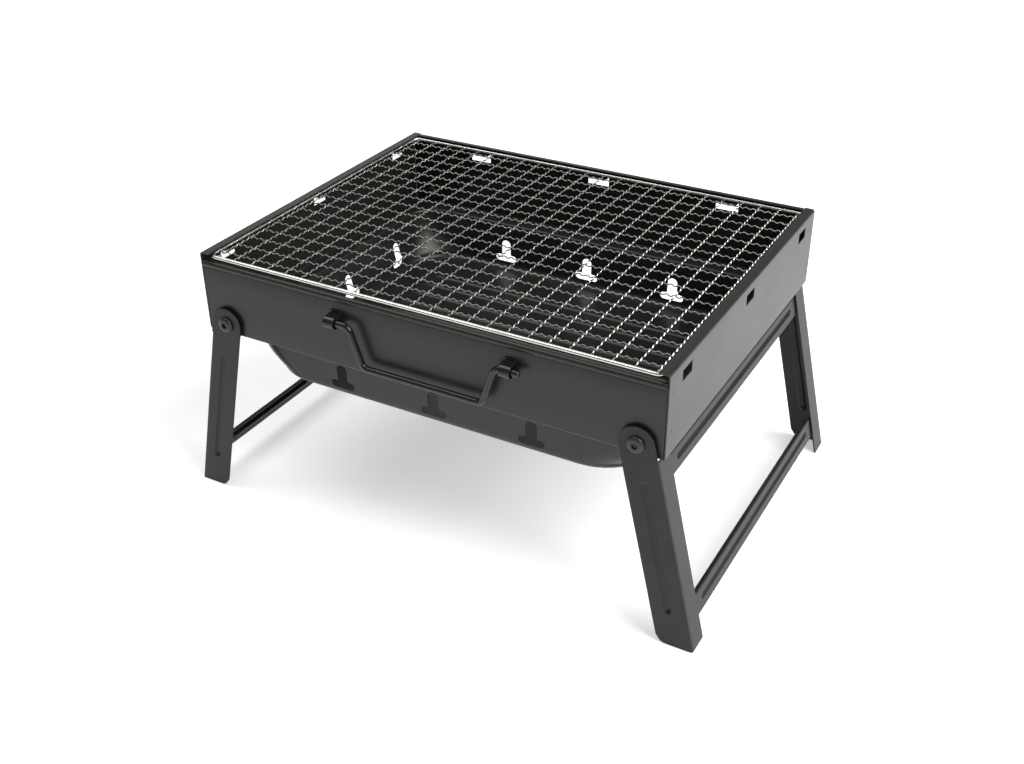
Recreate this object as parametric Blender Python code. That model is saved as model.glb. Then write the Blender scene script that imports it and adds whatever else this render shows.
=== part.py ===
"""Folding camp grill: a sheet-steel fire frame on two fold-out leg frames.

The frame is a bottomless box of four walls. A drawn fire tray hangs in it by its rim, a woven wire
grate lies on bent-in tabs near its top, and a wire bail hangs on its front wall. Each leg frame turns
on two bolts and folds in under the box.

Own frame: +Z up, X along the long side, the front faces -Y, and the origin is on the floor at the
middle of the object. Units are metres.
"""

import math

import bmesh
import bpy
from mathutils import Vector

# The outline's middle lies behind the fire frame's, because the handle stands out further than the bolts
FRAME_CENTRE_Y = 0.0025

# Fire frame
FRAME_LENGTH = 0.350
FRAME_DEPTH = 0.270
FRAME_TOP = 0.198
FRAME_BOTTOM = 0.1385
SHEET = 0.0010
GAP = 0.0003
CORNER_LAP = 0.0007
TOP_FLANGE = 0.0075
TOP_FLANGE_BEND = 0.0020
BACK_HEM = 0.0050
BOTTOM_FLANGE = 0.0150
OPENING_CORNER = 0.0120
FRONT_FACE_TOP = 0.1872
BEAD_RADIUS = 0.0023
BEAD_INSET = 0.0011
BEAD_RISE = 0.0025
BEAD_OPEN = (222, -42)
WELD_RETURN = 0.0110
WELD_RETURN_LOW = 0.1415
WELD_RETURN_HIGH = 0.1860
HEM_OVERLAP = 0.0010

# Slots pressed out of the walls, whose metal is bent in as tabs that carry the grate
SLOT_LOW = 0.1838
SLOT_HIGH = 0.1912
TAB_REACH = 0.0070
END_SLOT_WIDTH = 0.0145
END_SLOT_PITCH = 0.1080
BACK_SLOT_WIDTH = 0.0180
BACK_SLOT_PITCH = 0.1080

# How far a cutter stands out past what it cuts
PAST = 0.0020

# Leg frames
PIVOT_X = 0.1570
PIVOT_Z = 0.1470
SPLAY = math.radians(13.2)
LEG_SHEET = 0.0012
LEG_HALF_WIDTH = 0.0122
LEG_STANDOFF = 0.0018
LEG_FLANGE = 0.0180
LEG_FLANGE_CLEARANCE = 0.0004
FOOT_CORNER = 0.0060
LEG_RIB_WIDTH = 0.0050
LEG_RIB_DEPTH = 0.0005
LEG_RIB_TOP = 0.0360
LEG_RIB_BOTTOM = 0.1280
BAR_HALF_LENGTH = 0.1250
BAR_LIP = 0.0020
BAR_LIP_HALF_LENGTH = 0.1185
BAR_GROOVE_WIDTH = 0.0034
BAR_GROOVE_DEPTH = 0.0005
BAR_GROOVE_HALF_LENGTH = 0.1110
UPPER_BAR = (0.0175, 0.0320)
LOWER_BAR = (0.1220, 0.1380)

# Pivot fasteners
BOLT_RADIUS = 0.0030
HOLE_RADIUS = 0.0034
HEAD_RADIUS = 0.0058
HEAD_HEIGHT = 0.0023
HEAD_CHAMFER = 0.0010
SOCKET_RADIUS = 0.0020
SOCKET_DEPTH = 0.0014
WASHER_RADIUS = 0.0075
NUT_RADIUS = 0.0056
NUT_HEIGHT = 0.0036
THREAD_PAST_NUT = 0.0012

# Fire tray
TRAY_SHEET = 0.0009
TRAY_FLOOR = 0.1010
TRAY_TOP_HALF = (0.1580, 0.1180)
TRAY_FLOOR_HALF = (0.1500, 0.1170)
TRAY_TOP_CORNER = 0.0220
TRAY_FLOOR_CORNER = 0.0420
TRAY_CORNER_FULLNESS = 2.6
TRAY_BEND = 0.0060
TRAY_RIM = 0.0075
TRAY_RIM_CORNER = 0.0195
VENT_LOW = 0.1070
VENT_BASE_WIDTH = 0.0195
VENT_BASE_HEIGHT = 0.0060
VENT_NECK_WIDTH = 0.0082
VENT_HEIGHT = 0.0190
LONG_VENT_PITCH = 0.0750
END_VENT_PITCH = 0.0680

# Handle
HANDLE_STANDOFF = 0.0063
HANDLE_Z = 0.1750
HANDLE_CENTRE_X = 0.0075
HANDLE_DROP = 0.0285
HANDLE_RADIUS = 0.0023
HANDLE_END_X = 0.0720
HANDLE_SHOULDER_X = 0.0550
HANDLE_FOOT_X = 0.0452
HANDLE_FOOT_BEND = 0.0055
HANDLE_SHOULDER_BEND = 0.0060
LUG_X = 0.0660
LUG_CENTRE_X = 0.0045
LUG_WIDTH = 0.0080
LUG_INNER = 0.0031
LUG_SHEET = 0.0012
LUG_FOOT = 0.0020

# Grate
GRATE_HALF_LENGTH = 0.1700
GRATE_HALF_DEPTH = 0.1319
GRATE_Z = 0.1943
GRATE_ROD = 0.0016
GRATE_CORNER = 0.0060
GRATE_PITCH = 0.0143
GRATE_WIRE = 0.0014
GRATE_WIRES_ACROSS = 24
GRATE_WIRES_ALONG = 18

INNER_X = FRAME_LENGTH / 2 - SHEET
INNER_Y = FRAME_DEPTH / 2 - SHEET


def clear_scene():
    """Remove every object that the file opened with."""
    for obj in list(bpy.data.objects):
        bpy.data.objects.remove(obj, do_unlink=True)


def make_material(name, colour, roughness, metallic):
    """Return a Principled material of one colour."""
    mat = bpy.data.materials.new(name)
    mat.use_nodes = True
    shader = mat.node_tree.nodes["Principled BSDF"]
    shader.inputs["Base Color"].default_value = (*colour, 1.0)
    shader.inputs["Roughness"].default_value = roughness
    shader.inputs["Metallic"].default_value = metallic
    mat.diffuse_color = (*colour, 1.0)
    return mat


def add_object(name, bm, mat, smooth=False):
    """Turn a bmesh into a named object in the scene, with its faces pointing out."""
    bmesh.ops.recalc_face_normals(bm, faces=bm.faces)
    mesh = bpy.data.meshes.new(name)
    bm.to_mesh(mesh)
    bm.free()
    mesh.materials.append(mat)
    if smooth:
        mesh.shade_smooth()
        mesh.set_sharp_from_angle(angle=math.radians(35))
    obj = bpy.data.objects.new(name, mesh)
    bpy.context.scene.collection.objects.link(obj)
    return obj


def add_empty(name, location, tilt=0.0):
    """Add an empty on a joint's axis, turned about Y by tilt."""
    empty = bpy.data.objects.new(name, None)
    empty.location = location
    empty.rotation_euler = (0.0, tilt, 0.0)
    empty.empty_display_size = 0.02
    bpy.context.scene.collection.objects.link(empty)
    return empty


def prism(outline, axis, low, high, bm=None):
    """Extrude an outline along an axis, from low to high.

    The outline's two numbers are the other two axes in X, Y, Z order. With bm, the prism is added to
    that bmesh as one more body.
    """
    bm = bm or bmesh.new()
    order = {"X": (1, 2), "Y": (0, 2), "Z": (0, 1)}[axis]
    along = "XYZ".index(axis)
    rings = []
    for level in (low, high):
        ring = []
        for first, second in outline:
            point = [0.0, 0.0, 0.0]
            point[order[0]] = first
            point[order[1]] = second
            point[along] = level
            ring.append(bm.verts.new(point))
        rings.append(ring)
    bm.faces.new(rings[0])
    bm.faces.new(rings[1])
    count = len(outline)
    for i in range(count):
        j = (i + 1) % count
        bm.faces.new((rings[0][i], rings[0][j], rings[1][j], rings[1][i]))
    return bm


def box_outline(low_a, high_a, low_b, high_b):
    """Return the four corners of a rectangle."""
    return [(low_a, low_b), (high_a, low_b), (high_a, high_b), (low_a, high_b)]


def arc(centre, radius, start, end, steps):
    """Return points on an arc, angles in degrees, both ends included."""
    points = []
    for i in range(steps + 1):
        angle = math.radians(start + (end - start) * i / steps)
        points.append((centre[0] + radius * math.cos(angle), centre[1] + radius * math.sin(angle)))
    return points


def round_corner(before, corner, after, radius, steps):
    """Return the arc that replaces a corner between two straight runs, in two or three dimensions."""
    corner = Vector(corner)
    into = (Vector(before) - corner).normalized()
    away = (Vector(after) - corner).normalized()
    half = into.angle(away) / 2
    start = corner + into * (radius / math.tan(half))
    centre = corner + (into + away).normalized() * (radius / math.sin(half))
    first = start - centre
    last = corner + away * (radius / math.tan(half)) - centre
    sweep = first.angle(last)
    points = []
    for i in range(steps + 1):
        share = i / steps
        along = (first * math.sin((1 - share) * sweep) + last * math.sin(share * sweep)) / math.sin(sweep)
        points.append(tuple(centre + along))
    return points


def rounded_rectangle(half_x, half_y, radius, steps):
    """Return a rectangle's outline about the origin with round corners."""
    points = []
    for sign_x, sign_y, start in ((1, 1, 0), (-1, 1, 90), (-1, -1, 180), (1, -1, 270)):
        centre = (sign_x * (half_x - radius), sign_y * (half_y - radius))
        points += arc(centre, radius, start, start + 90, steps)
    return points


def add_boolean(obj, other, operation):
    """Cut another object out of this one, or join it on, and hide the other."""
    modifier = obj.modifiers.new(f"{operation.lower()}_{other.name}", "BOOLEAN")
    modifier.operation = operation
    modifier.solver = "EXACT"
    modifier.object = other
    other.hide_render = True
    other.display_type = "WIRE"
    other.parent = obj.parent


def cut(obj, bm):
    """Cut the bodies of a bmesh out of an object."""
    add_boolean(obj, add_object(f"{obj.name}_cutter", bm, obj.data.materials[0]), "DIFFERENCE")


def join(obj, bm):
    """Join the bodies of a bmesh on to an object."""
    add_boolean(obj, add_object(f"{obj.name}_addition", bm, obj.data.materials[0]), "UNION")


def lathe(profile, segments, closed=False):
    """Turn a profile of (radius, height) points about Z; a point of radius 0 is a pole."""
    bm = bmesh.new()
    rings = []
    for radius, height in profile:
        if radius == 0.0:
            rings.append([bm.verts.new((0.0, 0.0, height))])
            continue
        ring = []
        for i in range(segments):
            angle = math.tau * i / segments
            ring.append(bm.verts.new((radius * math.cos(angle), radius * math.sin(angle), height)))
        rings.append(ring)
    pairs = list(zip(rings, rings[1:]))
    if closed:
        pairs.append((rings[-1], rings[0]))
    for lower, upper in pairs:
        for i in range(segments):
            j = (i + 1) % segments
            corners = [lower[i % len(lower)], lower[j % len(lower)]]
            corners += [upper[j % len(upper)], upper[i % len(upper)]]
            bm.faces.new(list(dict.fromkeys(corners)))
    return bm


def wire(name, points, radius, mat, cyclic=False):
    """Return a round wire along a path, as a curve with a bevel and filled ends."""
    curve = bpy.data.curves.new(name, "CURVE")
    curve.dimensions = "3D"
    curve.bevel_depth = radius
    curve.bevel_resolution = 2
    curve.use_fill_caps = True
    spline = curve.splines.new("POLY")
    spline.points.add(len(points) - 1)
    for target, point in zip(spline.points, points):
        target.co = (*point, 1.0)
    spline.use_cyclic_u = cyclic
    curve.materials.append(mat)
    obj = bpy.data.objects.new(name, curve)
    bpy.context.scene.collection.objects.link(obj)
    return obj


def pivot_hole(bm, x, y_low, y_high, z):
    """Add a round cutter for a pivot bolt's hole."""
    return prism(arc((x, z), HOLE_RADIUS, 0, 345, 23), "Y", y_low, y_high, bm)


def build_front_wall(mat):
    """Front wall: bottom flange, plain face, rolled bead and the returns that are welded to the ends."""
    outer = -FRAME_DEPTH / 2
    inner = -INNER_Y
    lip = outer + BOTTOM_FLANGE + CORNER_LAP
    bead = (outer + BEAD_INSET, FRONT_FACE_TOP + BEAD_RISE)
    outline = [(lip, FRAME_BOTTOM), (outer, FRAME_BOTTOM), (outer, FRONT_FACE_TOP)]
    outline += arc(bead, BEAD_RADIUS, *BEAD_OPEN, 11)
    outline += [(inner, FRONT_FACE_TOP), (inner, FRAME_BOTTOM + SHEET), (lip, FRAME_BOTTOM + SHEET)]
    half = INNER_X - GAP
    wall = add_object("front_wall", prism(outline, "X", -half, half), mat)
    returns = None
    for side in (-1, 1):
        ends = sorted((side * half, side * (half - SHEET)))
        shape = box_outline(inner - SHEET / 2, outer + WELD_RETURN, WELD_RETURN_LOW, WELD_RETURN_HIGH)
        returns = prism(shape, "X", *ends, returns)
    join(wall, returns)
    holes = None
    for side in (-1, 1):
        holes = pivot_hole(holes, side * PIVOT_X, outer - PAST, inner + PAST, PIVOT_Z)
    cut(wall, holes)
    return wall


def build_back_wall(mat):
    """Back wall: bottom flange, plain face with three slots and tabs, and a hem along its top."""
    outer = FRAME_DEPTH / 2
    inner = INNER_Y
    lip = outer - BOTTOM_FLANGE - CORNER_LAP
    shoulder = FRAME_TOP - SHEET - GAP
    outline = [(outer, FRAME_BOTTOM), (lip, FRAME_BOTTOM), (lip, FRAME_BOTTOM + SHEET)]
    outline += [(inner, FRAME_BOTTOM + SHEET), (inner, shoulder), (outer, shoulder)]
    half = INNER_X - GAP
    wall = add_object("back_wall", prism(outline, "X", -half, half), mat)
    hem = [(inner, shoulder - HEM_OVERLAP), (outer, shoulder - HEM_OVERLAP)]
    hem += arc((outer - TOP_FLANGE_BEND, FRAME_TOP - TOP_FLANGE_BEND), TOP_FLANGE_BEND, 0, 90, 3)
    hem += [(outer - BACK_HEM, FRAME_TOP), (outer - BACK_HEM, FRAME_TOP - SHEET)]
    hem.append((inner, FRAME_TOP - SHEET))
    hem_half = FRAME_LENGTH / 2 - TOP_FLANGE - GAP
    join(wall, prism(hem, "X", -hem_half, hem_half))
    slots = None
    tabs = None
    for i in (-1, 0, 1):
        low_x = i * BACK_SLOT_PITCH - BACK_SLOT_WIDTH / 2
        high_x = low_x + BACK_SLOT_WIDTH
        opening = box_outline(low_x, high_x, SLOT_LOW, SLOT_HIGH)
        slots = prism(opening, "Y", inner - PAST, outer + PAST, slots)
        reach = box_outline(inner - TAB_REACH, inner + SHEET / 2, SLOT_HIGH, SLOT_HIGH + SHEET)
        tabs = prism(reach, "X", low_x, high_x, tabs)
    join(wall, tabs)
    for side in (-1, 1):
        slots = pivot_hole(slots, side * PIVOT_X, inner - PAST, outer + PAST, PIVOT_Z)
    cut(wall, slots)
    return wall


def build_end_wall(name, side, mat):
    """End wall: a plain face with a flange turned in along its top and bottom, three slots and tabs."""
    outer = FRAME_LENGTH / 2
    inner = INNER_X
    bend = (outer - TOP_FLANGE_BEND, FRAME_TOP - TOP_FLANGE_BEND)
    outline = [(inner, FRAME_BOTTOM), (outer, FRAME_BOTTOM)]
    outline += arc(bend, TOP_FLANGE_BEND, 0, 90, 3)
    outline += [(outer - TOP_FLANGE, FRAME_TOP), (outer - TOP_FLANGE, FRAME_TOP - SHEET)]
    outline += arc(bend, TOP_FLANGE_BEND - SHEET, 90, 0, 2)
    outline = [(side * x, z) for x, z in outline]
    wall = add_object(name, prism(outline, "Y", -FRAME_DEPTH / 2, FRAME_DEPTH / 2), mat)
    opening_x = outer - BOTTOM_FLANGE
    opening_y = FRAME_DEPTH / 2 - BOTTOM_FLANGE - CORNER_LAP
    flange_y = opening_y - GAP
    corner = (opening_x - OPENING_CORNER, opening_y - OPENING_CORNER)
    upper = arc(corner, OPENING_CORNER, 68, 0, 5)
    shape = [(inner + SHEET / 2, flange_y), (upper[0][0], flange_y)] + upper
    shape += [(x, -y) for x, y in reversed(upper)]
    shape += [(upper[0][0], -flange_y), (inner + SHEET / 2, -flange_y)]
    shape = [(side * x, y) for x, y in shape]
    join(wall, prism(shape, "Z", FRAME_BOTTOM, FRAME_BOTTOM + SHEET))
    slots = None
    tabs = None
    for i in (-1, 0, 1):
        low_y = i * END_SLOT_PITCH - END_SLOT_WIDTH / 2
        high_y = low_y + END_SLOT_WIDTH
        ends = sorted((side * (inner - PAST), side * (outer + PAST)))
        slots = prism(box_outline(low_y, high_y, SLOT_LOW, SLOT_HIGH), "X", *ends, slots)
        reach = sorted((side * (inner - TAB_REACH), side * (inner + SHEET / 2)))
        tabs = prism(box_outline(*reach, SLOT_HIGH, SLOT_HIGH + SHEET), "Y", low_y, high_y, tabs)
    join(wall, tabs)
    cut(wall, slots)
    return wall


def build_lug(name, side, mat):
    """Handle lug: a strap bent round the handle's wire, with a foot on the wall above and below it."""
    face = -FRAME_DEPTH / 2 - GAP
    axis_y = -FRAME_DEPTH / 2 - HANDLE_STANDOFF
    outer = LUG_INNER + LUG_SHEET
    foot = outer + LUG_FOOT
    step = face - LUG_SHEET
    outline = [(face, HANDLE_Z + foot), (step, HANDLE_Z + foot), (step, HANDLE_Z + outer)]
    outline += arc((axis_y, HANDLE_Z), outer, 90, 270, 8)
    outline += [(step, HANDLE_Z - outer), (step, HANDLE_Z - foot), (face, HANDLE_Z - foot)]
    outline += [(face, HANDLE_Z - LUG_INNER)]
    outline += arc((axis_y, HANDLE_Z), LUG_INNER, 270, 90, 6)
    outline += [(face, HANDLE_Z + LUG_INNER)]
    low = LUG_CENTRE_X + side * LUG_X - LUG_WIDTH / 2
    return add_object(name, prism(outline, "X", low, low + LUG_WIDTH), mat, smooth=True)


def build_handle(mat):
    """Handle: a wire bail whose ends turn in the lugs; it hangs from its axis, which its origin is on."""
    foot = (HANDLE_FOOT_X, 0.0, -HANDLE_DROP)
    shoulder = (HANDLE_SHOULDER_X, 0.0, 0.0)
    right = [(0.0, 0.0, -HANDLE_DROP)]
    right += round_corner(right[0], foot, shoulder, HANDLE_FOOT_BEND, 5)
    right += round_corner(foot, shoulder, (HANDLE_END_X, 0.0, 0.0), HANDLE_SHOULDER_BEND, 5)
    right.append((HANDLE_END_X, 0.0, 0.0))
    left = [(-x, y, z) for x, y, z in reversed(right[1:])]
    handle = wire("handle_bail", left + right, HANDLE_RADIUS, mat)
    handle.location = (HANDLE_CENTRE_X, -FRAME_DEPTH / 2 - HANDLE_STANDOFF, HANDLE_Z)
    return handle


def along_leg(out, world_z):
    """Return how far down the leg, at a distance out from its centre line, a level of the room lies."""
    return (PIVOT_Z - world_z + out * math.sin(SPLAY)) / math.cos(SPLAY)


def build_leg(name, side, front, pivot, mat):
    """Leg: a flat plate outside the wall and a flange along its outer edge, in the leg frame's axes.

    Those axes start at the pivot, with the leg running down -Z and its outer edge towards side * X.
    """
    half = LEG_HALF_WIDTH
    foot_inner = (-half, along_leg(-half, 0.0))
    foot_outer = (half, along_leg(half, 0.0))
    outline = arc((0.0, 0.0), half, 0, 180, 14)
    corner = round_corner((-half, 0.0), foot_inner, foot_outer, FOOT_CORNER, 5)
    outline += [(x, -down) for x, down in corner]
    outline.append((foot_outer[0], -foot_outer[1]))
    face = front * (FRAME_DEPTH / 2 + LEG_STANDOFF + LEG_SHEET)
    back = front * (FRAME_DEPTH / 2 + LEG_STANDOFF)
    plate = prism([(side * x, z) for x, z in outline], "Y", *sorted((face, back)))
    leg = add_object(name, plate, mat, smooth=True)
    leg.parent = pivot
    top = FRAME_BOTTOM - LEG_FLANGE_CLEARANCE
    flange = []
    for out, level in ((half - LEG_SHEET, top), (half, top), (half, 0.0), (half - LEG_SHEET, 0.0)):
        flange.append((side * out, -along_leg(out, level)))
    ends = sorted((face, face - front * LEG_FLANGE))
    join(leg, prism(flange, "Y", *ends))
    cutters = pivot_hole(None, 0.0, *sorted((face + front * PAST, back - front * PAST)), 0.0)
    rib_half = LEG_RIB_WIDTH / 2
    rib = arc((0.0, -LEG_RIB_TOP), rib_half, 0, 180, 6) + arc((0.0, -LEG_RIB_BOTTOM), rib_half, 180, 360, 6)
    rib_ends = sorted((face + front * PAST, face - front * LEG_RIB_DEPTH))
    prism(rib, "Y", *rib_ends, cutters)
    cut(leg, cutters)
    return leg


def build_crossbar(name, side, span, pivot, mat):
    """Crossbar: a strip that lies behind both legs' flanges, with a lip along its top and a groove."""
    top, bottom = span
    outer = LEG_HALF_WIDTH - LEG_SHEET - GAP
    inner = outer - SHEET
    strip = box_outline(*sorted((side * outer, side * inner)), -bottom, -top)
    bar = add_object(name, prism(strip, "Y", -BAR_HALF_LENGTH, BAR_HALF_LENGTH), mat)
    bar.parent = pivot
    lip = box_outline(*sorted((side * (outer - SHEET / 2), side * (inner - BAR_LIP))), -top - SHEET, -top)
    join(bar, prism(lip, "Y", -BAR_LIP_HALF_LENGTH, BAR_LIP_HALF_LENGTH))
    middle = -(top + bottom) / 2
    ends = sorted((side * (outer + PAST), side * (outer - BAR_GROOVE_DEPTH)))
    half = BAR_GROOVE_WIDTH / 2
    reach = BAR_GROOVE_HALF_LENGTH - half
    groove = arc((reach, middle), half, -90, 90, 5) + arc((-reach, middle), half, 90, 270, 5)
    cut(bar, prism(groove, "X", *ends))
    return bar


def build_leg_frame(word, side, mat):
    """One leg frame: a front and a back leg and two crossbars on a common pivot axis."""
    pivot = add_empty(f"{word}_leg_axis", (side * PIVOT_X, 0.0, PIVOT_Z), -side * SPLAY)
    build_leg(f"{word}_front_leg", side, -1, pivot, mat)
    build_leg(f"{word}_back_leg", side, 1, pivot, mat)
    build_crossbar(f"{word}_upper_crossbar", side, UPPER_BAR, pivot, mat)
    build_crossbar(f"{word}_lower_crossbar", side, LOWER_BAR, pivot, mat)


def place_on_pivot(obj, side, front):
    """Stand an object that was turned about Z on a pivot axis, its +Z pointing out of the wall."""
    obj.location = (side * PIVOT_X, front * FRAME_DEPTH / 2, PIVOT_Z)
    obj.rotation_euler = (math.pi / 2 if front < 0 else -math.pi / 2, 0.0, 0.0)


def build_pivot_fasteners(word, side, front, mat):
    """Bolt, washer and nut of one pivot, measured outwards from the wall's outer face."""
    seat = LEG_STANDOFF + LEG_SHEET + GAP
    tail = -SHEET - GAP - NUT_HEIGHT - THREAD_PAST_NUT
    crown = seat + HEAD_HEIGHT
    profile = [(0.0, tail), (BOLT_RADIUS, tail), (BOLT_RADIUS, seat), (HEAD_RADIUS, seat)]
    profile += [(HEAD_RADIUS, crown - HEAD_CHAMFER), (HEAD_RADIUS - HEAD_CHAMFER, crown), (0.0, crown)]
    bolt = add_object(f"{word}_pivot_bolt", lathe(profile, 16), mat, smooth=True)
    place_on_pivot(bolt, side, front)
    socket = prism(arc((0.0, 0.0), SOCKET_RADIUS, 0, 300, 5), "Z", crown - SOCKET_DEPTH, crown + PAST)
    cut(bolt, socket)
    place_on_pivot(bpy.data.objects[f"{word}_pivot_bolt_cutter"], side, front)
    low, high = GAP, LEG_STANDOFF - GAP
    section = [(HOLE_RADIUS, low), (WASHER_RADIUS, low), (WASHER_RADIUS, high), (HOLE_RADIUS, high)]
    washer = add_object(f"{word}_washer", lathe(section, 20, closed=True), mat, smooth=True)
    place_on_pivot(washer, side, front)
    low, high = -SHEET - GAP - NUT_HEIGHT, -SHEET - GAP
    section = [(0.0, low), (NUT_RADIUS, low), (NUT_RADIUS, high), (0.0, high)]
    nut = add_object(f"{word}_nut", lathe(section, 6), mat)
    place_on_pivot(nut, side, front)
    hole = prism(arc((0.0, 0.0), HOLE_RADIUS, 0, 345, 23), "Z", low - PAST, high + PAST)
    cut(nut, hole)
    place_on_pivot(bpy.data.objects[f"{word}_nut_cutter"], side, front)


def vent_outline(centre):
    """Keyhole vent: a wide low slot with round ends and a neck with a round head above it."""
    half_base = VENT_BASE_WIDTH / 2
    end = VENT_BASE_HEIGHT / 2
    neck = VENT_NECK_WIDTH / 2
    base_z = VENT_LOW + end
    points = arc((half_base - end, base_z), end, -90, 60, 4)
    points.append((neck, VENT_LOW + VENT_BASE_HEIGHT))
    points += arc((0.0, VENT_LOW + VENT_HEIGHT - neck), neck, 0, 180, 6)
    points.append((-neck, VENT_LOW + VENT_BASE_HEIGHT))
    points += arc((end - half_base, base_z), end, 120, 270, 4)
    return [(centre + x, z) for x, z in points]


def build_fire_tray(mat):
    """Fire tray: a drawn tub, its corners tight at the rim and wide at the floor, with keyhole vents."""
    sheet = TRAY_SHEET
    rim_low = FRAME_BOTTOM + SHEET + GAP
    rim_high = rim_low + sheet
    top_x, top_y = TRAY_TOP_HALF
    floor_x, floor_y = TRAY_FLOOR_HALF
    half_bend = TRAY_BEND * (1 - math.sqrt(0.5))

    def floor_ring(inset, height, wall):
        corner = TRAY_FLOOR_CORNER - inset - wall
        return (floor_x - inset - wall, floor_y - inset - wall, corner, TRAY_FLOOR + height)

    def wall_ring(rise, wall):
        half_x = floor_x + rise * (top_x - floor_x) - wall
        half_y = floor_y + rise * (top_y - floor_y) - wall
        extra = (TRAY_FLOOR_CORNER - TRAY_TOP_CORNER) * (1 - rise) ** TRAY_CORNER_FULLNESS
        low = TRAY_FLOOR + TRAY_BEND
        return (half_x, half_y, TRAY_TOP_CORNER + extra - wall, low + rise * (rim_low - low))

    stations = [
        floor_ring(TRAY_BEND, 0.0, 0.0),
        floor_ring(half_bend, half_bend, 0.0),
        floor_ring(0.0, TRAY_BEND, 0.0),
        wall_ring(0.2, 0.0),
        wall_ring(0.5, 0.0),
        (top_x, top_y, TRAY_TOP_CORNER, rim_low),
        (top_x + TRAY_RIM, top_y + TRAY_RIM, TRAY_RIM_CORNER, rim_low),
        (top_x + TRAY_RIM, top_y + TRAY_RIM, TRAY_RIM_CORNER, rim_high),
        (top_x - sheet, top_y - sheet, TRAY_TOP_CORNER - sheet, rim_high),
        wall_ring(0.5, sheet),
        wall_ring(0.2, sheet),
        floor_ring(0.0, TRAY_BEND, sheet),
        floor_ring(half_bend - 0.3 * sheet, half_bend + 0.7 * sheet, sheet),
        floor_ring(TRAY_BEND - sheet, sheet, sheet),
    ]
    bm = bmesh.new()
    rings = []
    for half_x, half_y, corner, z in stations:
        outline = rounded_rectangle(half_x, half_y, corner, 6)
        rings.append([bm.verts.new((x, y, z)) for x, y in outline])
    bm.faces.new(rings[0])
    bm.faces.new(rings[-1])
    for lower, upper in zip(rings, rings[1:]):
        for i in range(len(lower)):
            j = (i + 1) % len(lower)
            bm.faces.new((lower[i], lower[j], upper[j], upper[i]))
    tray = add_object("fire_tray", bm, mat, smooth=True)
    vents = None
    for i in (-1, 0, 1):
        for side in (-1, 1):
            ends = sorted((side * (floor_y - TRAY_BEND), side * (top_y + PAST)))
            vents = prism(vent_outline(i * LONG_VENT_PITCH), "Y", *ends, vents)
            ends = sorted((side * (floor_x - TRAY_BEND), side * (top_x + PAST)))
            vents = prism(vent_outline(i * END_VENT_PITCH), "X", *ends, vents)
    cut(tray, vents)
    return tray


def build_grate_rim(mat):
    """Grate rim: one rod bent to a rectangle with round corners."""
    outline = rounded_rectangle(GRATE_HALF_LENGTH, GRATE_HALF_DEPTH, GRATE_CORNER, 4)
    return wire("grate_rim", [(x, y, GRATE_Z) for x, y in outline], GRATE_ROD, mat, cyclic=True)


def lattice_edges(count, reach):
    """Return the edges of the wires and gaps along one side, and which of those strips are wires."""
    edges = [-reach]
    strips = []
    for i in range(count):
        middle = (i - (count - 1) / 2) * GRATE_PITCH
        edges += [middle - GRATE_WIRE / 2, middle + GRATE_WIRE / 2]
        strips += [False, True]
    edges.append(reach)
    strips.append(False)
    return edges, strips


def build_grate_mesh(mat):
    """Grate mesh: crossed wires as one flat lattice, ending just inside the rim."""
    clear = GRATE_ROD + GAP
    x_edges, x_wires = lattice_edges(GRATE_WIRES_ACROSS, GRATE_HALF_LENGTH - clear)
    y_edges, y_wires = lattice_edges(GRATE_WIRES_ALONG, GRATE_HALF_DEPTH - clear)
    levels = (GRATE_Z - GRATE_WIRE / 2, GRATE_Z + GRATE_WIRE / 2)
    bm = bmesh.new()
    corners = {}

    def vert(i, j, k):
        if (i, j, k) not in corners:
            corners[i, j, k] = bm.verts.new((x_edges[i], y_edges[j], levels[k]))
        return corners[i, j, k]

    def solid(i, j):
        inside = 0 <= i < len(x_wires) and 0 <= j < len(y_wires)
        return inside and (x_wires[i] or y_wires[j])

    for i in range(len(x_wires)):
        for j in range(len(y_wires)):
            if not solid(i, j):
                continue
            for k in (0, 1):
                bm.faces.new((vert(i, j, k), vert(i + 1, j, k), vert(i + 1, j + 1, k), vert(i, j + 1, k)))
            sides = (((i - 1, j), (i, j), (i, j + 1)), ((i + 1, j), (i + 1, j), (i + 1, j + 1)),
                     ((i, j - 1), (i, j), (i + 1, j)), ((i, j + 1), (i, j + 1), (i + 1, j + 1)))
            for neighbour, start, end in sides:
                if not solid(*neighbour):
                    bm.faces.new((vert(*start, 0), vert(*end, 0), vert(*end, 1), vert(*start, 1)))
    return add_object("grate_mesh", bm, mat)


def main():
    """Build the whole grill."""
    clear_scene()
    enamel = make_material("black_enamel", (0.055, 0.055, 0.050), 0.38, 0.0)
    leg_paint = make_material("leg_paint", (0.060, 0.057, 0.050), 0.42, 0.0)
    tray_paint = make_material("tray_paint", (0.050, 0.049, 0.044), 0.36, 0.0)
    gloss = make_material("gloss_black", (0.010, 0.010, 0.010), 0.16, 0.0)
    fastener = make_material("black_fastener", (0.030, 0.030, 0.028), 0.30, 0.6)
    bright = make_material("bright_wire", (0.80, 0.79, 0.76), 0.22, 1.0)

    build_front_wall(enamel)
    build_back_wall(enamel)
    build_end_wall("left_end_wall", -1, enamel)
    build_end_wall("right_end_wall", 1, enamel)
    build_lug("left_handle_lug", -1, gloss)
    build_lug("right_handle_lug", 1, gloss)
    build_handle(gloss)
    build_leg_frame("left", -1, leg_paint)
    build_leg_frame("right", 1, leg_paint)
    for side, side_word in ((-1, "left"), (1, "right")):
        for front, front_word in ((-1, "front"), (1, "back")):
            build_pivot_fasteners(f"{side_word}_{front_word}", side, front, fastener)
    build_fire_tray(tray_paint)
    build_grate_rim(bright)
    build_grate_mesh(bright)
    for obj in bpy.data.objects:
        if obj.parent is None:
            obj.location.y += FRAME_CENTRE_Y


main()
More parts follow.
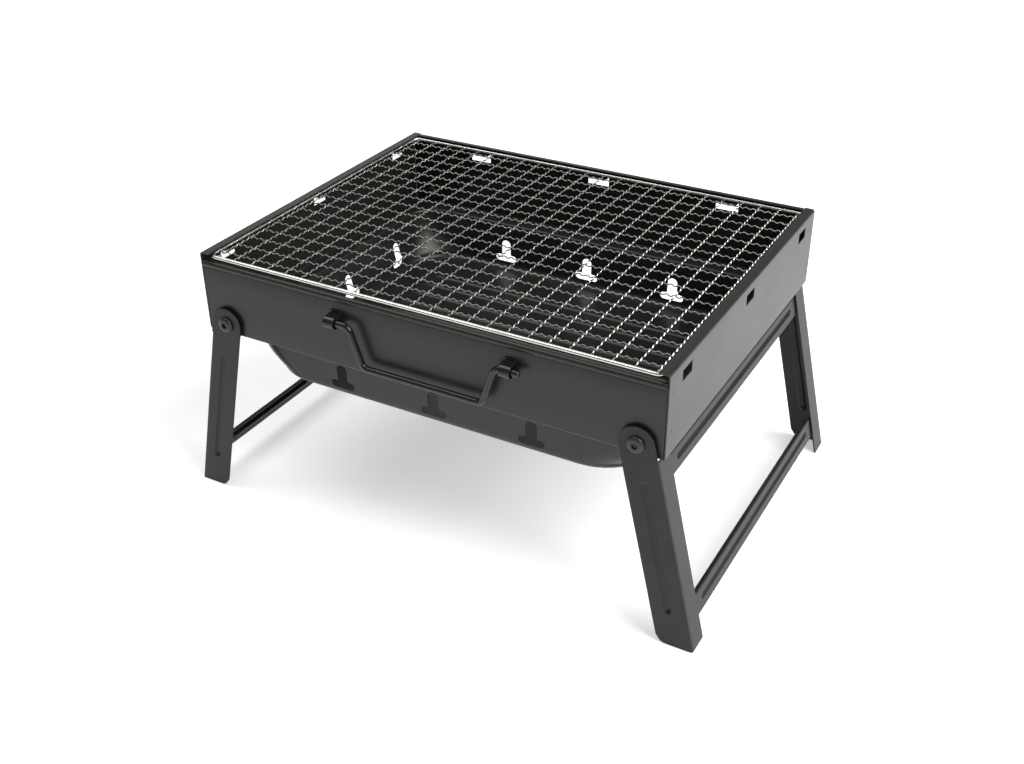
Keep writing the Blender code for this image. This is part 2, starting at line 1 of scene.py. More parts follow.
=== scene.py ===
"""Looks of a folding camp grill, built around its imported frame.

Lengths are in metres and every piece is made in the frame's own axes: +Z up, X along the long side, the
handle on the -Y side. Sheet pieces are grids of points on the sheet's outer face that a Solidify modifier
gives its thickness, wires are circles carried along a path, and fasteners are turned profiles.
"""

import logging
import math
from dataclasses import dataclass, field
from enum import Enum
from itertools import product

import bmesh
import bpy
import numpy as np
from mathutils import Matrix, Vector


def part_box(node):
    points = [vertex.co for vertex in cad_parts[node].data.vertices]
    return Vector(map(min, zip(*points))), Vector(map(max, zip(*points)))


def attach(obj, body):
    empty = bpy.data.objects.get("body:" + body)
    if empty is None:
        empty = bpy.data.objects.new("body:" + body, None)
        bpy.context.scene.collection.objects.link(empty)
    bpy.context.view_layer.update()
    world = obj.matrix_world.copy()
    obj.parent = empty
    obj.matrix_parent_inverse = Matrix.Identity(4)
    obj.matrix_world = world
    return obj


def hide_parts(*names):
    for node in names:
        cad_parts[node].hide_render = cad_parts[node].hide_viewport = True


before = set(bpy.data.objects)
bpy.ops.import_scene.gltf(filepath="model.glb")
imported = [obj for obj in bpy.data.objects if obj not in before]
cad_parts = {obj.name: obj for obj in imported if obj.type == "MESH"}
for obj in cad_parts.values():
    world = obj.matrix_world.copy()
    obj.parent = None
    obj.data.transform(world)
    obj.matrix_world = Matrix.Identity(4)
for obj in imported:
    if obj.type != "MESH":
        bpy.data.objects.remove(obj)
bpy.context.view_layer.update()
LOG = logging.getLogger("camp_grill")

Colour = tuple[float, float, float]
Array = np.ndarray

MM = 0.001
WALL_LOW, WALL_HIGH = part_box("left_end_wall")
FRONT_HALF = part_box("front_wall")[1].x
CENTRE_Y = (WALL_LOW.y + WALL_HIGH.y) / 2
HALF_LENGTH = -WALL_LOW.x
HALF_DEPTH = (WALL_HIGH.y - WALL_LOW.y) / 2
FRAME_TOP = WALL_HIGH.z
FRAME_BOTTOM = WALL_LOW.z
HAIR = 0.01 * MM
SHARP_ANGLE = math.radians(38)


class Way(Enum):
    """One of two opposite ways along an axis; the value is the axis's sign."""

    @property
    def word(self) -> str:
        """The way's name as node names spell it."""
        return self.name.lower()


class Side(Way):
    """Left or right of the grill, along X."""

    LEFT = -1
    RIGHT = 1


class End(Way):
    """Front or back of the grill, along Y."""

    FRONT = -1
    BACK = 1


class Slot(Enum):
    """The record's material slots."""

    ENAMEL = "black_enamel"
    LEG = "leg_paint"
    TRAY = "tray_paint"
    GLOSS = "gloss_black"
    FASTENER = "black_fastener"
    BRIGHT = "bright_wire"


# ---------------------------------------------------------------------------------------------- shading


class Shade:
    """A shader socket that takes part in Python arithmetic by adding Math nodes."""

    def __init__(self, recipe: "Recipe", socket: bpy.types.NodeSocket) -> None:
        """Wrap one of a recipe's output sockets."""
        self.recipe = recipe
        self.socket = socket

    def _math(self, operation: str, first: "Shade | float", second: "Shade | float") -> "Shade":
        """Return a Math node's result for two values."""
        return self.recipe.node("ShaderNodeMath", {"operation": operation}, {0: first, 1: second})

    def __add__(self, other: "Shade | float") -> "Shade":
        """self + other."""
        return self._math("ADD", self, other)

    def __radd__(self, other: float) -> "Shade":
        """other + self."""
        return self._math("ADD", other, self)

    def __rsub__(self, other: float) -> "Shade":
        """other - self."""
        return self._math("SUBTRACT", other, self)

    def __mul__(self, other: "Shade | float") -> "Shade":
        """self * other."""
        return self._math("MULTIPLY", self, other)

    def __rmul__(self, other: float) -> "Shade":
        """other * self."""
        return self._math("MULTIPLY", other, self)


class Recipe:
    """One material's node tree, with a Principled shader at its end."""

    def __init__(self, name: str) -> None:
        """Start a material.

        Args:
            name: the material's name.
        """
        self.material = bpy.data.materials.new(name)
        self.material.use_nodes = True
        self.tree = self.material.node_tree
        self.shader = self.tree.nodes["Principled BSDF"]

    def node(self, kind: str, settings: dict[str, object], values: dict[object, object],
             output: int = 0) -> Shade:
        """Add a node, set it up and feed it.

        Args:
            kind: the node's type.
            settings: its properties, set before its sockets.
            values: a value or a Shade for each input, by the input's name or number.
            output: which of its outputs is wanted.

        Returns:
            The wanted output.
        """
        made = self.tree.nodes.new(kind)
        for key, value in settings.items():
            setattr(made, key, value)
        for key, value in values.items():
            self.feed(made.inputs[key], value)
        return Shade(self, made.outputs[output])

    def feed(self, socket: bpy.types.NodeSocket, value: object) -> None:
        """Link a Shade to an input, or set the input's value.

        Args:
            socket: the input.
            value: the Shade or the value.
        """
        if isinstance(value, Shade):
            self.tree.links.new(value.socket, socket)
        else:
            socket.default_value = value

    def place(self, stretch: tuple[float, float, float] = (1.0, 1.0, 1.0)) -> Shade:
        """Return the piece's own coordinates; stretch multiplies a pattern's repeats along each axis."""
        spot = self.node("ShaderNodeTexCoord", {}, {}, 3)
        return self.node("ShaderNodeMapping", {}, {"Vector": spot, "Scale": stretch})

    def noise(self, spot: Shade, size: float, detail: float = 3.0, rough: float = 0.5) -> Shade:
        """Return smooth noise between 0 and 1, in blotches about size metres wide."""
        values = {"Vector": spot, "Scale": 1.0 / size, "Detail": detail, "Roughness": rough}
        return self.node("ShaderNodeTexNoise", {"noise_dimensions": "3D"}, values)

    def ramp(self, value: Shade, low: float, high: float) -> Shade:
        """Return 0 below low, 1 above high and a smooth rise between."""
        values = {"Value": value, "From Min": low, "From Max": high}
        return self.node("ShaderNodeMapRange", {"interpolation_type": "SMOOTHSTEP"}, values)

    def blend(self, mask: Shade, first: object, second: object) -> Shade:
        """Mix two colours, either of which may be a Shade: the first where the mask is 0, the second at 1."""
        pair = [(*c, 1.0) if isinstance(c, tuple) else c for c in (first, second)]
        return self.node("ShaderNodeMix", {"data_type": "RGBA"}, {0: mask, 6: pair[0], 7: pair[1]}, 2)

    def bump(self, height: Shade, depth: float, under: Shade | None = None) -> Shade:
        """Return a normal that shows a height.

        Args:
            height: the height, between 0 and 1.
            depth: how deep 1 is, in metres.
            under: a normal to build on.

        Returns:
            The normal.
        """
        values: dict[object, object] = {"Height": height, "Distance": depth, "Strength": 1.0}
        if under is not None:
            values["Normal"] = under
        return self.node("ShaderNodeBump", {}, values)

    def finish(self, values: dict[str, object]) -> bpy.types.Material:
        """Feed the Principled shader's inputs and return the material."""
        for key, value in values.items():
            self.feed(self.shader.inputs[key], value)
        return self.material


@dataclass(frozen=True)
class StovePaint:
    """Baked satin paint on sheet steel: mottled, faintly pebbled, with rubbed streaks and dust."""

    name: str
    slot: Slot
    colour: Colour
    worn_colour: Colour
    roughness: float
    peel_depth: float = 0.012 * MM
    wave_depth: float = 0.16 * MM
    streak_axis: int = 0
    dust: float = 0.10
    soot: float = 0.0
    index: float = 1.41
    rub: float = 0.05

    def material(self) -> bpy.types.Material:
        """Return the paint as a material."""
        recipe = Recipe(self.name)
        spot = recipe.place()
        stretch = [9.0, 9.0, 9.0]
        stretch[self.streak_axis] = 0.6
        clouds = recipe.noise(spot, 55 * MM, 4.0, 0.6)
        grain = recipe.noise(spot, 0.9 * MM, 2.0, 0.5)
        streaks = recipe.noise(recipe.place(tuple(stretch)), 18 * MM, 3.0, 0.6)
        rubbed = recipe.ramp(streaks, 0.52, 0.78)
        specks = recipe.ramp(recipe.noise(spot, 1.7 * MM, 1.0, 0.4), 0.74, 0.80)
        smears = recipe.ramp(recipe.noise(spot, 24 * MM, 5.0, 0.65), 0.50, 0.72)
        colour = recipe.blend(clouds * 0.55 + grain * 0.25, self.colour, self.worn_colour)
        dusty = tuple(min(1.0, 6 * c + 0.05) for c in self.worn_colour)
        colour = recipe.blend((specks * 0.6 + smears * 0.15) * self.dust, colour, dusty)
        colour = recipe.blend(smears * self.soot, colour, (0.006, 0.006, 0.006))
        rough = self.roughness - self.rub * rubbed + 0.10 * clouds + 0.06 * grain
        rough = rough + (0.20 * self.soot) * smears
        waves = recipe.bump(recipe.noise(spot, 85 * MM, 1.0, 0.4), self.wave_depth)
        normal = recipe.bump(grain, self.peel_depth, waves)
        return recipe.finish({"Base Color": colour, "Roughness": rough, "Metallic": 0.0, "Normal": normal,
                              "IOR": self.index, "Specular Tint": (1.0, 0.965, 0.915, 1.0)})


@dataclass(frozen=True)
class GlossPaint:
    """Thick gloss black on bent wire and strap."""

    name: str
    slot: Slot
    colour: Colour = (0.005, 0.005, 0.005)
    roughness: float = 0.10

    def material(self) -> bpy.types.Material:
        """Return the paint as a material."""
        recipe = Recipe(self.name)
        spot = recipe.place()
        sag = recipe.noise(spot, 5 * MM, 2.0, 0.5)
        fine = recipe.noise(spot, 0.7 * MM, 2.0, 0.5)
        scuffs = recipe.ramp(recipe.noise(recipe.place((0.5, 6.0, 6.0)), 6 * MM, 4.0, 0.7), 0.56, 0.74)
        colour = recipe.blend(scuffs * 0.5 + fine * 0.2, self.colour, (0.035, 0.034, 0.032))
        rough = self.roughness + 0.14 * scuffs + 0.05 * fine
        normal = recipe.bump(sag, 0.05 * MM)
        return recipe.finish({"Base Color": colour, "Roughness": rough, "Metallic": 0.0, "Normal": normal,
                              "IOR": 1.42})


@dataclass(frozen=True)
class BlackedSteel:
    """Chemically blacked steel of bolts, washers and nuts, with oily patches and rubbed bright spots."""

    name: str
    slot: Slot
    colour: Colour = (0.020, 0.020, 0.020)
    bare: Colour = (0.16, 0.155, 0.15)

    def material(self) -> bpy.types.Material:
        """Return the steel as a material."""
        recipe = Recipe(self.name)
        spot = recipe.place()
        oil = recipe.noise(spot, 3 * MM, 3.0, 0.6)
        fine = recipe.noise(spot, 0.35 * MM, 2.0, 0.5)
        rubbed = recipe.ramp(recipe.noise(spot, 1.6 * MM, 4.0, 0.7), 0.60, 0.72)
        colour = recipe.blend(rubbed * 0.35 + fine * 0.08, self.colour, self.bare)
        rough = 0.20 + 0.22 * oil + 0.08 * fine
        metal = 0.35 + 0.5 * rubbed
        normal = recipe.bump(fine, 0.008 * MM)
        return recipe.finish({"Base Color": colour, "Roughness": rough, "Metallic": metal,
                              "Normal": normal})


@dataclass(frozen=True)
class PlatedWire:
    """Bright plated steel wire: fine drawing lines, clouded patches and dull spots."""

    name: str
    slot: Slot
    colour: Colour = (0.74, 0.73, 0.70)
    dull: Colour = (0.40, 0.39, 0.37)

    def material(self) -> bpy.types.Material:
        """Return the plating as a material."""
        recipe = Recipe(self.name)
        spot = recipe.place()
        clouds = recipe.ramp(recipe.noise(spot, 9 * MM, 4.0, 0.6), 0.45, 0.75)
        fine = recipe.noise(spot, 0.4 * MM, 2.0, 0.5)
        spots = recipe.ramp(recipe.noise(spot, 2.2 * MM, 2.0, 0.5), 0.68, 0.76)
        colour = recipe.blend(clouds * 0.45 + spots * 0.45, self.colour, self.dull)
        rough = 0.20 + 0.16 * clouds + 0.10 * spots + 0.06 * fine
        normal = recipe.bump(fine, 0.010 * MM)
        return recipe.finish({"Base Color": colour, "Roughness": rough, "Metallic": 1.0, "Normal": normal})


@dataclass(frozen=True)
class PaperFloor:
    """Pale seamless studio floor."""

    name: str = "studio_paper"
    colour: Colour = (0.86, 0.86, 0.86)
    glow: float = 0.50

    def material(self) -> bpy.types.Material:
        """Return the floor as a material."""
        recipe = Recipe(self.name)
        grain = recipe.noise(recipe.place(), 4 * MM, 2.0, 0.5)
        shade = tuple(0.985 * c for c in self.colour)
        return recipe.finish({"Base Color": recipe.blend(grain, self.colour, shade), "Roughness": 0.75,
                              "Specular IOR Level": 0.2, "Emission Color": (*shade, 1.0),
                              "Emission Strength": self.glow})


Finish = StovePaint | GlossPaint | BlackedSteel | PlatedWire | PaperFloor


@dataclass
class PaintShop:
    """Every finish of the grill; each material is made once, when it is first asked for."""

    front: StovePaint = StovePaint("front_paint", Slot.ENAMEL, (0.009, 0.0088, 0.0083),
                                   (0.017, 0.0165, 0.0155), 0.27)
    ends: StovePaint = StovePaint("end_paint", Slot.ENAMEL, (0.009, 0.0082, 0.0072),
                                  (0.015, 0.0138, 0.0122), 0.30, streak_axis=1, index=1.52, rub=0.02)
    legs: StovePaint = StovePaint("leg_frame_paint", Slot.LEG, (0.009, 0.0084, 0.0075),
                                  (0.018, 0.0170, 0.0152), 0.34, streak_axis=2, wave_depth=0.10 * MM,
                                  dust=0.16, index=1.35)
    tray: StovePaint = StovePaint("tray_heat_paint", Slot.TRAY, (0.010, 0.010, 0.0097),
                                  (0.018, 0.0178, 0.0170), 0.26, wave_depth=0.08 * MM, soot=0.35)
    gloss: GlossPaint = GlossPaint("handle_gloss", Slot.GLOSS)
    fastener: BlackedSteel = BlackedSteel("blacked_steel", Slot.FASTENER)
    wire: PlatedWire = PlatedWire("plated_wire", Slot.BRIGHT)
    floor: PaperFloor = PaperFloor()
    made: dict[str, bpy.types.Material] = field(default_factory=dict)

    def coat(self, obj: bpy.types.Object, finish: Finish) -> None:
        """Give an object one finish.

        Args:
            obj: the object.
            finish: its finish.
        """
        if finish.name not in self.made:
            self.made[finish.name] = finish.material()
        obj.data.materials.clear()
        obj.data.materials.append(self.made[finish.name])


# ---------------------------------------------------------------------------------------------- meshes


class Pattern:
    """Grids of points that become one mesh."""

    def __init__(self) -> None:
        """Start with no points."""
        self.points: list[Array] = []
        self.faces: list[list[int]] = []
        self.total = 0

    def grid(self, points: Array, keep: Array | None = None, around: bool = False, loop: bool = False,
             outward: tuple[float, float, float] | None = None) -> Array:
        """Add a grid of quads.

        Args:
            points: rows by columns by 3.
            keep: rows - 1 by columns - 1, False where the sheet has a hole.
            around: join the last column to the first.
            loop: join the last row to the first.
            outward: the way that the faces point on the whole; without it the order of the points decides.

        Returns:
            The points' numbers, rows by columns.
        """
        rows, columns = points.shape[:2]
        number = self.total + np.arange(rows * columns).reshape(rows, columns)
        index = np.vstack([number, number[:1]]) if loop else number
        index = np.hstack([index, index[:, :1]]) if around else index
        quads = np.stack([index[:-1, :-1], index[1:, :-1], index[1:, 1:], index[:-1, 1:]], axis=-1)
        quads = quads.reshape(-1, 4) if keep is None else quads[keep]
        if outward is not None:
            spot = points.reshape(-1, 3)
            local = quads - self.total
            normals = np.cross(spot[local[:, 2]] - spot[local[:, 0]], spot[local[:, 3]] - spot[local[:, 1]])
            if float(normals.sum(axis=0) @ np.array(outward)) < 0:
                quads = quads[:, ::-1]
        self.points.append(points.reshape(-1, 3))
        self.faces += quads.tolist()
        self.total += rows * columns
        return number

    def cap(self, ring: Array) -> None:
        """Close a ring, given as its point numbers in order, with one face."""
        self.faces.append(ring.tolist())

    def mesh(self, name: str, solid: bool) -> bpy.types.Object:
        """Make the mesh and its object.

        Args:
            name: the object's name.
            solid: True where the grids close to solids, whose faces are then turned outwards.

        Returns:
            The object, linked to the scene.
        """
        data = bpy.data.meshes.new(name)
        data.from_pydata(np.vstack(self.points).tolist(), [], self.faces)
        form = bmesh.new()
        form.from_mesh(data)
        bmesh.ops.remove_doubles(form, verts=form.verts, dist=1e-6)
        loose = [v for v in form.verts if not v.link_faces]
        bmesh.ops.delete(form, geom=loose, context="VERTS")
        if solid:
            bmesh.ops.recalc_face_normals(form, faces=form.faces)
        form.to_mesh(data)
        form.free()
        data.shade_smooth()
        data.set_sharp_from_angle(angle=SHARP_ANGLE)
        obj = bpy.data.objects.new(name, data)
        bpy.context.scene.collection.objects.link(obj)
        return obj


def ease(obj: bpy.types.Object, width: float, angle: float, clamp: bool = False) -> None:
    """Round off an object's sharp edges.

    Args:
        obj: the object.
        width: the width of a rounded edge.
        angle: the smallest angle, in degrees, that counts as sharp.
        clamp: True where the width shrinks rather than let edges cross.
    """
    bevel = obj.modifiers.new("eased_edge", "BEVEL")
    bevel.width = width
    bevel.segments = 2
    bevel.limit_method = "ANGLE"
    bevel.angle_limit = math.radians(angle)
    bevel.use_clamp_overlap = clamp
    bevel.harden_normals = True


def thicken(obj: bpy.types.Object, sheet: float, edge: float = 0.22 * MM) -> bpy.types.Object:
    """Give a sheet its thickness behind its outer face, and ease its cut edges.

    Args:
        obj: the sheet.
        sheet: its thickness.
        edge: the width of the eased edge, or 0 for none.

    Returns:
        The same object.
    """
    solid = obj.modifiers.new("sheet", "SOLIDIFY")
    solid.thickness = sheet
    solid.offset = -1.0
    solid.use_even_offset = True
    if edge:
        ease(obj, edge, 55)
    return obj


def settle(obj: bpy.types.Object) -> None:
    """Apply an object's modifiers to its mesh.

    Args:
        obj: the object.
    """
    graph = bpy.context.evaluated_depsgraph_get()
    data = bpy.data.meshes.new_from_object(obj.evaluated_get(graph))
    obj.modifiers.clear()
    obj.data = data


def arc(centre: tuple[float, float], radius: float, start: float, end: float, steps: int) -> Array:
    """Return points on an arc: centre + radius * (cos a, sin a), a from start to end in even steps.

    Args:
        centre: the arc's centre.
        radius: its radius.
        start: its first angle, in degrees.
        end: its last angle, in degrees.
        steps: how many steps it takes.

    Returns:
        steps + 1 points by 2.
    """
    angle = np.radians(np.linspace(start, end, steps + 1))
    return np.stack([centre[0] + radius * np.cos(angle), centre[1] + radius * np.sin(angle)], axis=1)


def fine(points: Array, step: float) -> Array:
    """Divide a path's long runs.

    Each run between two points becomes the smallest number of equal runs that are no longer than step.

    Args:
        points: the path.
        step: the longest run.

    Returns:
        The finer path.
    """
    runs = np.linalg.norm(np.diff(points, axis=0), axis=1)
    keys = np.concatenate([[0.0], np.cumsum(runs)])
    parts = np.maximum(1, np.ceil(runs / step - 1e-6)).astype(int)
    begin = np.repeat(np.arange(len(runs)), parts)
    share = np.concatenate([np.arange(n) / n for n in parts])
    where = np.append(keys[begin] + share * runs[begin], keys[-1])
    return np.stack([np.interp(where, keys, points[:, i]) for i in range(points.shape[1])], axis=1)


def stations(marks: list[float], step: float) -> Array:
    """Return sorted stations that hold every mark, with no gap over step."""
    line = np.unique(np.round(np.array(marks), 7))
    return fine(line[:, None], step)[:, 0]


def halfway(values: Array) -> Array:
    """Return the middle of each pair of neighbours."""
    return (values[1:] + values[:-1]) / 2


def spread(path: Array, places: Array) -> tuple[Array, Array, Array]:
    """Repeat a flat path at each station: grids of its first numbers, its second ones and the stations."""
    first, second = (np.repeat(path[:, i:i + 1], len(places), axis=1) for i in (0, 1))
    return first, second, np.broadcast_to(places, first.shape)


def lay(line: Array, out: Array, height: Array, lengthwise: bool) -> Array:
    """Place points: line is how far along X they are and out how far along Y, or the other way round."""
    x, y = (line, out) if lengthwise else (out, line)
    return np.stack([x, CENTRE_Y + y, height], axis=-1)


def carry(path: Array, places: Array, sign: int, lengthwise: bool) -> Array:
    """Carry a path of (distance out, height) points along X or Y, on the side that sign gives."""
    out, height, line = spread(path, places)
    return lay(line, sign * out, height, lengthwise)


def smooth(value: Array, low: float, high: float) -> Array:
    """Return 0 below low, 1 above high, and 3t^2 - 2t^3 between, t rising evenly from 0 to 1."""
    share = np.clip((value - low) / (high - low), 0.0, 1.0)
    return share * share * (3.0 - 2.0 * share)


def channel(across: Array, along: Array, half_width: float, ends: tuple[float, float],
            slope: float) -> Array:
    """Return how deep a round-ended channel is, from 0 outside it to 1 along its floor.

    The channel is every point within half_width of a straight line; its wall rises over slope.

    Args:
        across: distance across from the line.
        along: distance along it.
        half_width: half of the channel's width at its brim.
        ends: where the line starts and ends.
        slope: how wide each wall is.

    Returns:
        The depth's share at each point.
    """
    beyond = along - np.clip(along, *ends)
    return 1.0 - smooth(np.hypot(across, beyond), half_width - slope, half_width)


def tube(pattern: Pattern, path: Array, side: tuple[float, float, float], radius: Array | float,
         segments: int, closed: bool = False) -> None:
    """Carry a circle along a flat path.

    Each ring is path + radius * (cos a * n + sin a * side), n being side x tangent.

    Args:
        pattern: where the tube goes.
        path: the centre line, which lies in a plane.
        side: that plane's normal.
        radius: the circle's radius, or one for each point of the path.
        segments: how many points a ring has.
        closed: True where the path ends where it starts; the last point is then not repeated.
    """
    if closed:
        tangent = np.roll(path, -1, axis=0) - np.roll(path, 1, axis=0)
    else:
        tangent = np.gradient(path, axis=0)
    tangent /= np.linalg.norm(tangent, axis=1, keepdims=True)
    side_way = np.array(side, float)
    normal = np.cross(side_way, tangent)
    angle = np.linspace(0.0, math.tau, segments, endpoint=False)
    size = np.broadcast_to(np.asarray(radius, float), (len(path),))[:, None, None]
    ring = np.cos(angle)[None, :, None] * normal[:, None, :] + np.sin(angle)[None, :, None] * side_way
    number = pattern.grid(path[:, None, :] + size * ring, around=True, loop=closed)
    if not closed:
        pattern.cap(number[0][::-1])
        pattern.cap(number[-1])


def domed(path: Array, radius: float, steps: int = 4) -> tuple[Array, Array]:
    """Add rounded ends to a wire's centre line.

    Beyond each end, the centre moves on by radius * sin a while the radius shrinks as radius * cos a.

    Args:
        path: the centre line.
        radius: the wire's radius.
        steps: how many rings each end gets.

    Returns:
        The longer centre line, and the radius at each of its points.
    """
    angle = np.radians(np.linspace(0.0, 82.0, steps + 1)[1:])
    start = path[0] - path[1]
    end = path[-1] - path[-2]
    start /= np.linalg.norm(start)
    end /= np.linalg.norm(end)
    head = path[0] + start * (radius * np.sin(angle[::-1]))[:, None]
    tail = path[-1] + end * (radius * np.sin(angle))[:, None]
    shrunk = radius * np.cos(angle)
    size = np.concatenate([shrunk[::-1], np.full(len(path), radius), shrunk])
    return np.vstack([head, path, tail]), size


def turned(profile: Array, segments: int, outline: Array | None = None,
           shaped: Array | None = None) -> Array:
    """Turn a profile about Z: (r cos a, r sin a, h), where r is the profile's radius.

    Where shaped is above 0, r is also multiplied towards the outline, such as a hexagon's.

    Args:
        profile: (radius, height) points.
        segments: how many points a ring has.
        outline: a factor for each of a ring's points.
        shaped: for each point of the profile, how far it follows the outline, from 0 to 1.

    Returns:
        Rows by segments by 3.
    """
    angle = np.linspace(0.0, math.tau, segments, endpoint=False)
    radius = np.repeat(profile[:, :1], segments, axis=1)
    if outline is not None and shaped is not None:
        radius = radius * (1.0 + shaped[:, None] * (outline[None, :] - 1.0))
    height = np.repeat(profile[:, 1:2], segments, axis=1)
    return np.stack([radius * np.cos(angle), radius * np.sin(angle), height], axis=-1)


def both_faces(half: Array, low: float, high: float) -> Array:
    """Return a flat ring's profile: half of one, from low up, and then its mirror image, from high down."""
    return np.vstack([half + [0.0, low], (half * [1.0, -1.0] + [0.0, high])[::-1]])


def hexagon(segments: int) -> Array:
    """Return a hexagon's radius over its corner radius at even angles: cos 30 / cos(a mod 60 - 30)."""
    angle = np.linspace(0.0, math.tau, segments, endpoint=False)
    return math.cos(math.pi / 6) / np.cos(np.mod(angle, math.pi / 3) - math.pi / 6)


def face_out(points: Array, x: float, z: float, end: End) -> Array:
    """Stand points made about +Z on a wall, so that +Z points out of the front or the back.

    Args:
        points: the points.
        x: where their axis meets the wall.
        z: the same.
        end: front or back.

    Returns:
        The turned and placed points.
    """
    out = end.value
    wall = CENTRE_Y + out * HALF_DEPTH
    turned_x = x - out * points[..., 0]
    return np.stack([turned_x, wall + out * points[..., 2], z + points[..., 1]], axis=-1)


# ---------------------------------------------------------------------------------------------- pieces


@dataclass
class Workshop:
    """What every sub-assembly uses to dress its pieces and put them on their bodies."""

    paints: PaintShop
    pieces: list[str] = field(default_factory=list)

    def dress(self, obj: bpy.types.Object, finish: Finish, body: str, *nodes: str) -> None:
        """Finish a piece, put it on its body and let it stand for its nodes.

        Args:
            obj: the piece.
            finish: its finish.
            body: the body that it rides on.
            nodes: the nodes that it replaces.
        """
        self.paints.coat(obj, finish)
        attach(obj, body)
        if nodes:
            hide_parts(*nodes)
        self.pieces.append(obj.name)
        LOG.info("%s: %d faces on %s", obj.name, len(obj.data.polygons), body)


@dataclass
class FireFrame:
    """The four folded walls of the fire frame."""

    shop: Workshop
    sheet: float = 1.0 * MM
    bend: float = 1.6 * MM
    top_bend: float = 2.0 * MM
    bottom_flange: float = 15.7 * MM
    end_flange: float = 14.7 * MM
    opening_corner: float = 12.0 * MM
    bead_radius: float = 2.3 * MM
    bead_inset: float = 1.1 * MM
    face_top: float = 187.2 * MM
    top_flange: float = 7.5 * MM
    hem: float = 5.0 * MM
    slot_low: float = 183.8 * MM
    slot_high: float = 191.2 * MM
    end_slot: tuple[float, float] = (14.5 * MM, 108.0 * MM)
    back_slot: tuple[float, float] = (18.0 * MM, 108.0 * MM)
    tab_reach: float = 8.0 * MM
    return_depth: float = 10.0 * MM
    weld_heights: tuple[float, float] = (157.0 * MM, 184.0 * MM)
    weld_inset: float = 6.0 * MM
    weld_radius: float = 1.7 * MM
    weld_depth: float = 0.35 * MM
    step: float = 12.0 * MM

    def bottom_bend(self, out: float) -> Array:
        """Return the bend between the bottom flange and a face that is out from the middle."""
        return arc((out - self.bend, FRAME_BOTTOM + self.bend), self.bend, -90, 0, 6)

    def slot_marks(self, slot: tuple[float, float]) -> list[float]:
        """Return where the sides of a wall's three slots are, slot being their width and pitch."""
        return [i * slot[1] + j * slot[0] / 2 for i in (-1, 0, 1) for j in (-1, 1)]

    def slotted(self, path: Array, places: Array, slot: tuple[float, float]) -> Array:
        """Return which faces of a wall its three slots take away.

        Args:
            path: the wall's (distance out, height) path.
            places: its stations.
            slot: the slots' width and pitch.

        Returns:
            True at each face that is in a slot.
        """
        width, pitch = slot
        level, middle = halfway(path[:, 1]), halfway(places)
        beside = np.abs(middle - pitch * np.round(np.clip(middle / pitch, -1, 1))) < width / 2
        return ((level > self.slot_low) & (level < self.slot_high))[:, None] & beside[None, :]

    def tabs(self, pattern: Pattern, slot: tuple[float, float], wall: float, lengthwise: bool,
             sign: int) -> None:
        """Add the three tabs that are bent in from the tops of a wall's slots.

        Args:
            pattern: the wall.
            slot: the slots' width and pitch.
            wall: how far out the wall's outer face is.
            lengthwise: True where the wall runs along X.
            sign: which side of the middle the wall is on.
        """
        root = self.sheet
        path = np.vstack([[[wall - 0.3 * root, self.slot_high + 0.55 * root]],
                          arc((wall - root, self.slot_high + root), root, -35, -90, 4),
                          [[wall - 0.6 * self.tab_reach, self.slot_high]],
                          [[wall - self.tab_reach, self.slot_high]]])
        for i in (-1, 0, 1):
            across = i * slot[1] + np.linspace(-slot[0] / 2, slot[0] / 2, 5)
            pattern.grid(carry(path, across, sign, lengthwise), outward=(0, 0, -1))

    def front(self) -> None:
        """Front wall: a flange, a plain face and a bead rolled out of its top edge."""
        half = FRONT_HALF
        out = HALF_DEPTH
        bead = (out - self.bead_inset, self.face_top + 2.5 * MM)
        path = np.vstack([[[out - self.bottom_flange, FRAME_BOTTOM]], self.bottom_bend(out),
                          [[out, self.face_top - 1.0 * MM], [out - 0.25 * MM, self.face_top]],
                          arc(bead, self.bead_radius, -62, 228, 28)])
        path = fine(path, self.step)
        pattern = Pattern()
        pattern.grid(carry(path, stations([-half, half], self.step), -1, True), outward=(0, -1, 0))
        depth = np.linspace(out - 0.6 * self.sheet, out - self.return_depth, 4)
        height = np.linspace(FRAME_BOTTOM + 3.5 * MM, self.face_top - 1.5 * MM, 6)
        for side in Side:
            deep, tall = np.meshgrid(depth, height)
            flap = np.full(deep.shape, side.value * half)
            pattern.grid(lay(flap, -deep, tall, True), outward=(side.value, 0, 0))
        wall = thicken(pattern.mesh("front_wall_sheet", False), self.sheet)
        self.shop.dress(wall, self.shop.paints.front, "fire_frame", "front_wall")

    def back(self) -> None:
        """Back wall: a flange, a face with three slots and their tabs, and a hem over its middle."""
        half = FRONT_HALF
        out = HALF_DEPTH
        hem_half = HALF_LENGTH - self.top_flange - 0.4 * MM
        shoulder = FRAME_TOP - 1.4 * MM
        path = np.vstack([[[out - self.bottom_flange, FRAME_BOTTOM]], self.bottom_bend(out),
                          [[out, self.slot_low], [out, self.slot_high]],
                          [[out, shoulder - self.top_bend / 2]],
                          arc((out - self.top_bend, FRAME_TOP - self.top_bend), self.top_bend, 0, 90, 7),
                          [[out - self.hem, FRAME_TOP]]])
        path = fine(path, self.step)
        marks = [-half, half, -hem_half, hem_half, *self.slot_marks(self.back_slot)]
        places = stations(marks, self.step)
        turned_in = halfway(path[:, 0]) < out - 2 * HAIR
        hemmed = turned_in & (halfway(path[:, 1]) > FRAME_TOP - 2 * self.top_bend)
        past_hem = np.abs(halfway(places)) > hem_half
        keep = ~self.slotted(path, places, self.back_slot) & ~(hemmed[:, None] & past_hem[None, :])
        pattern = Pattern()
        pattern.grid(carry(path, places, 1, True), keep, outward=(0, 1, 0))
        self.tabs(pattern, self.back_slot, out, True, 1)
        wall = thicken(pattern.mesh("back_wall_sheet", False), self.sheet)
        self.shop.dress(wall, self.shop.paints.front, "fire_frame", "back_wall")

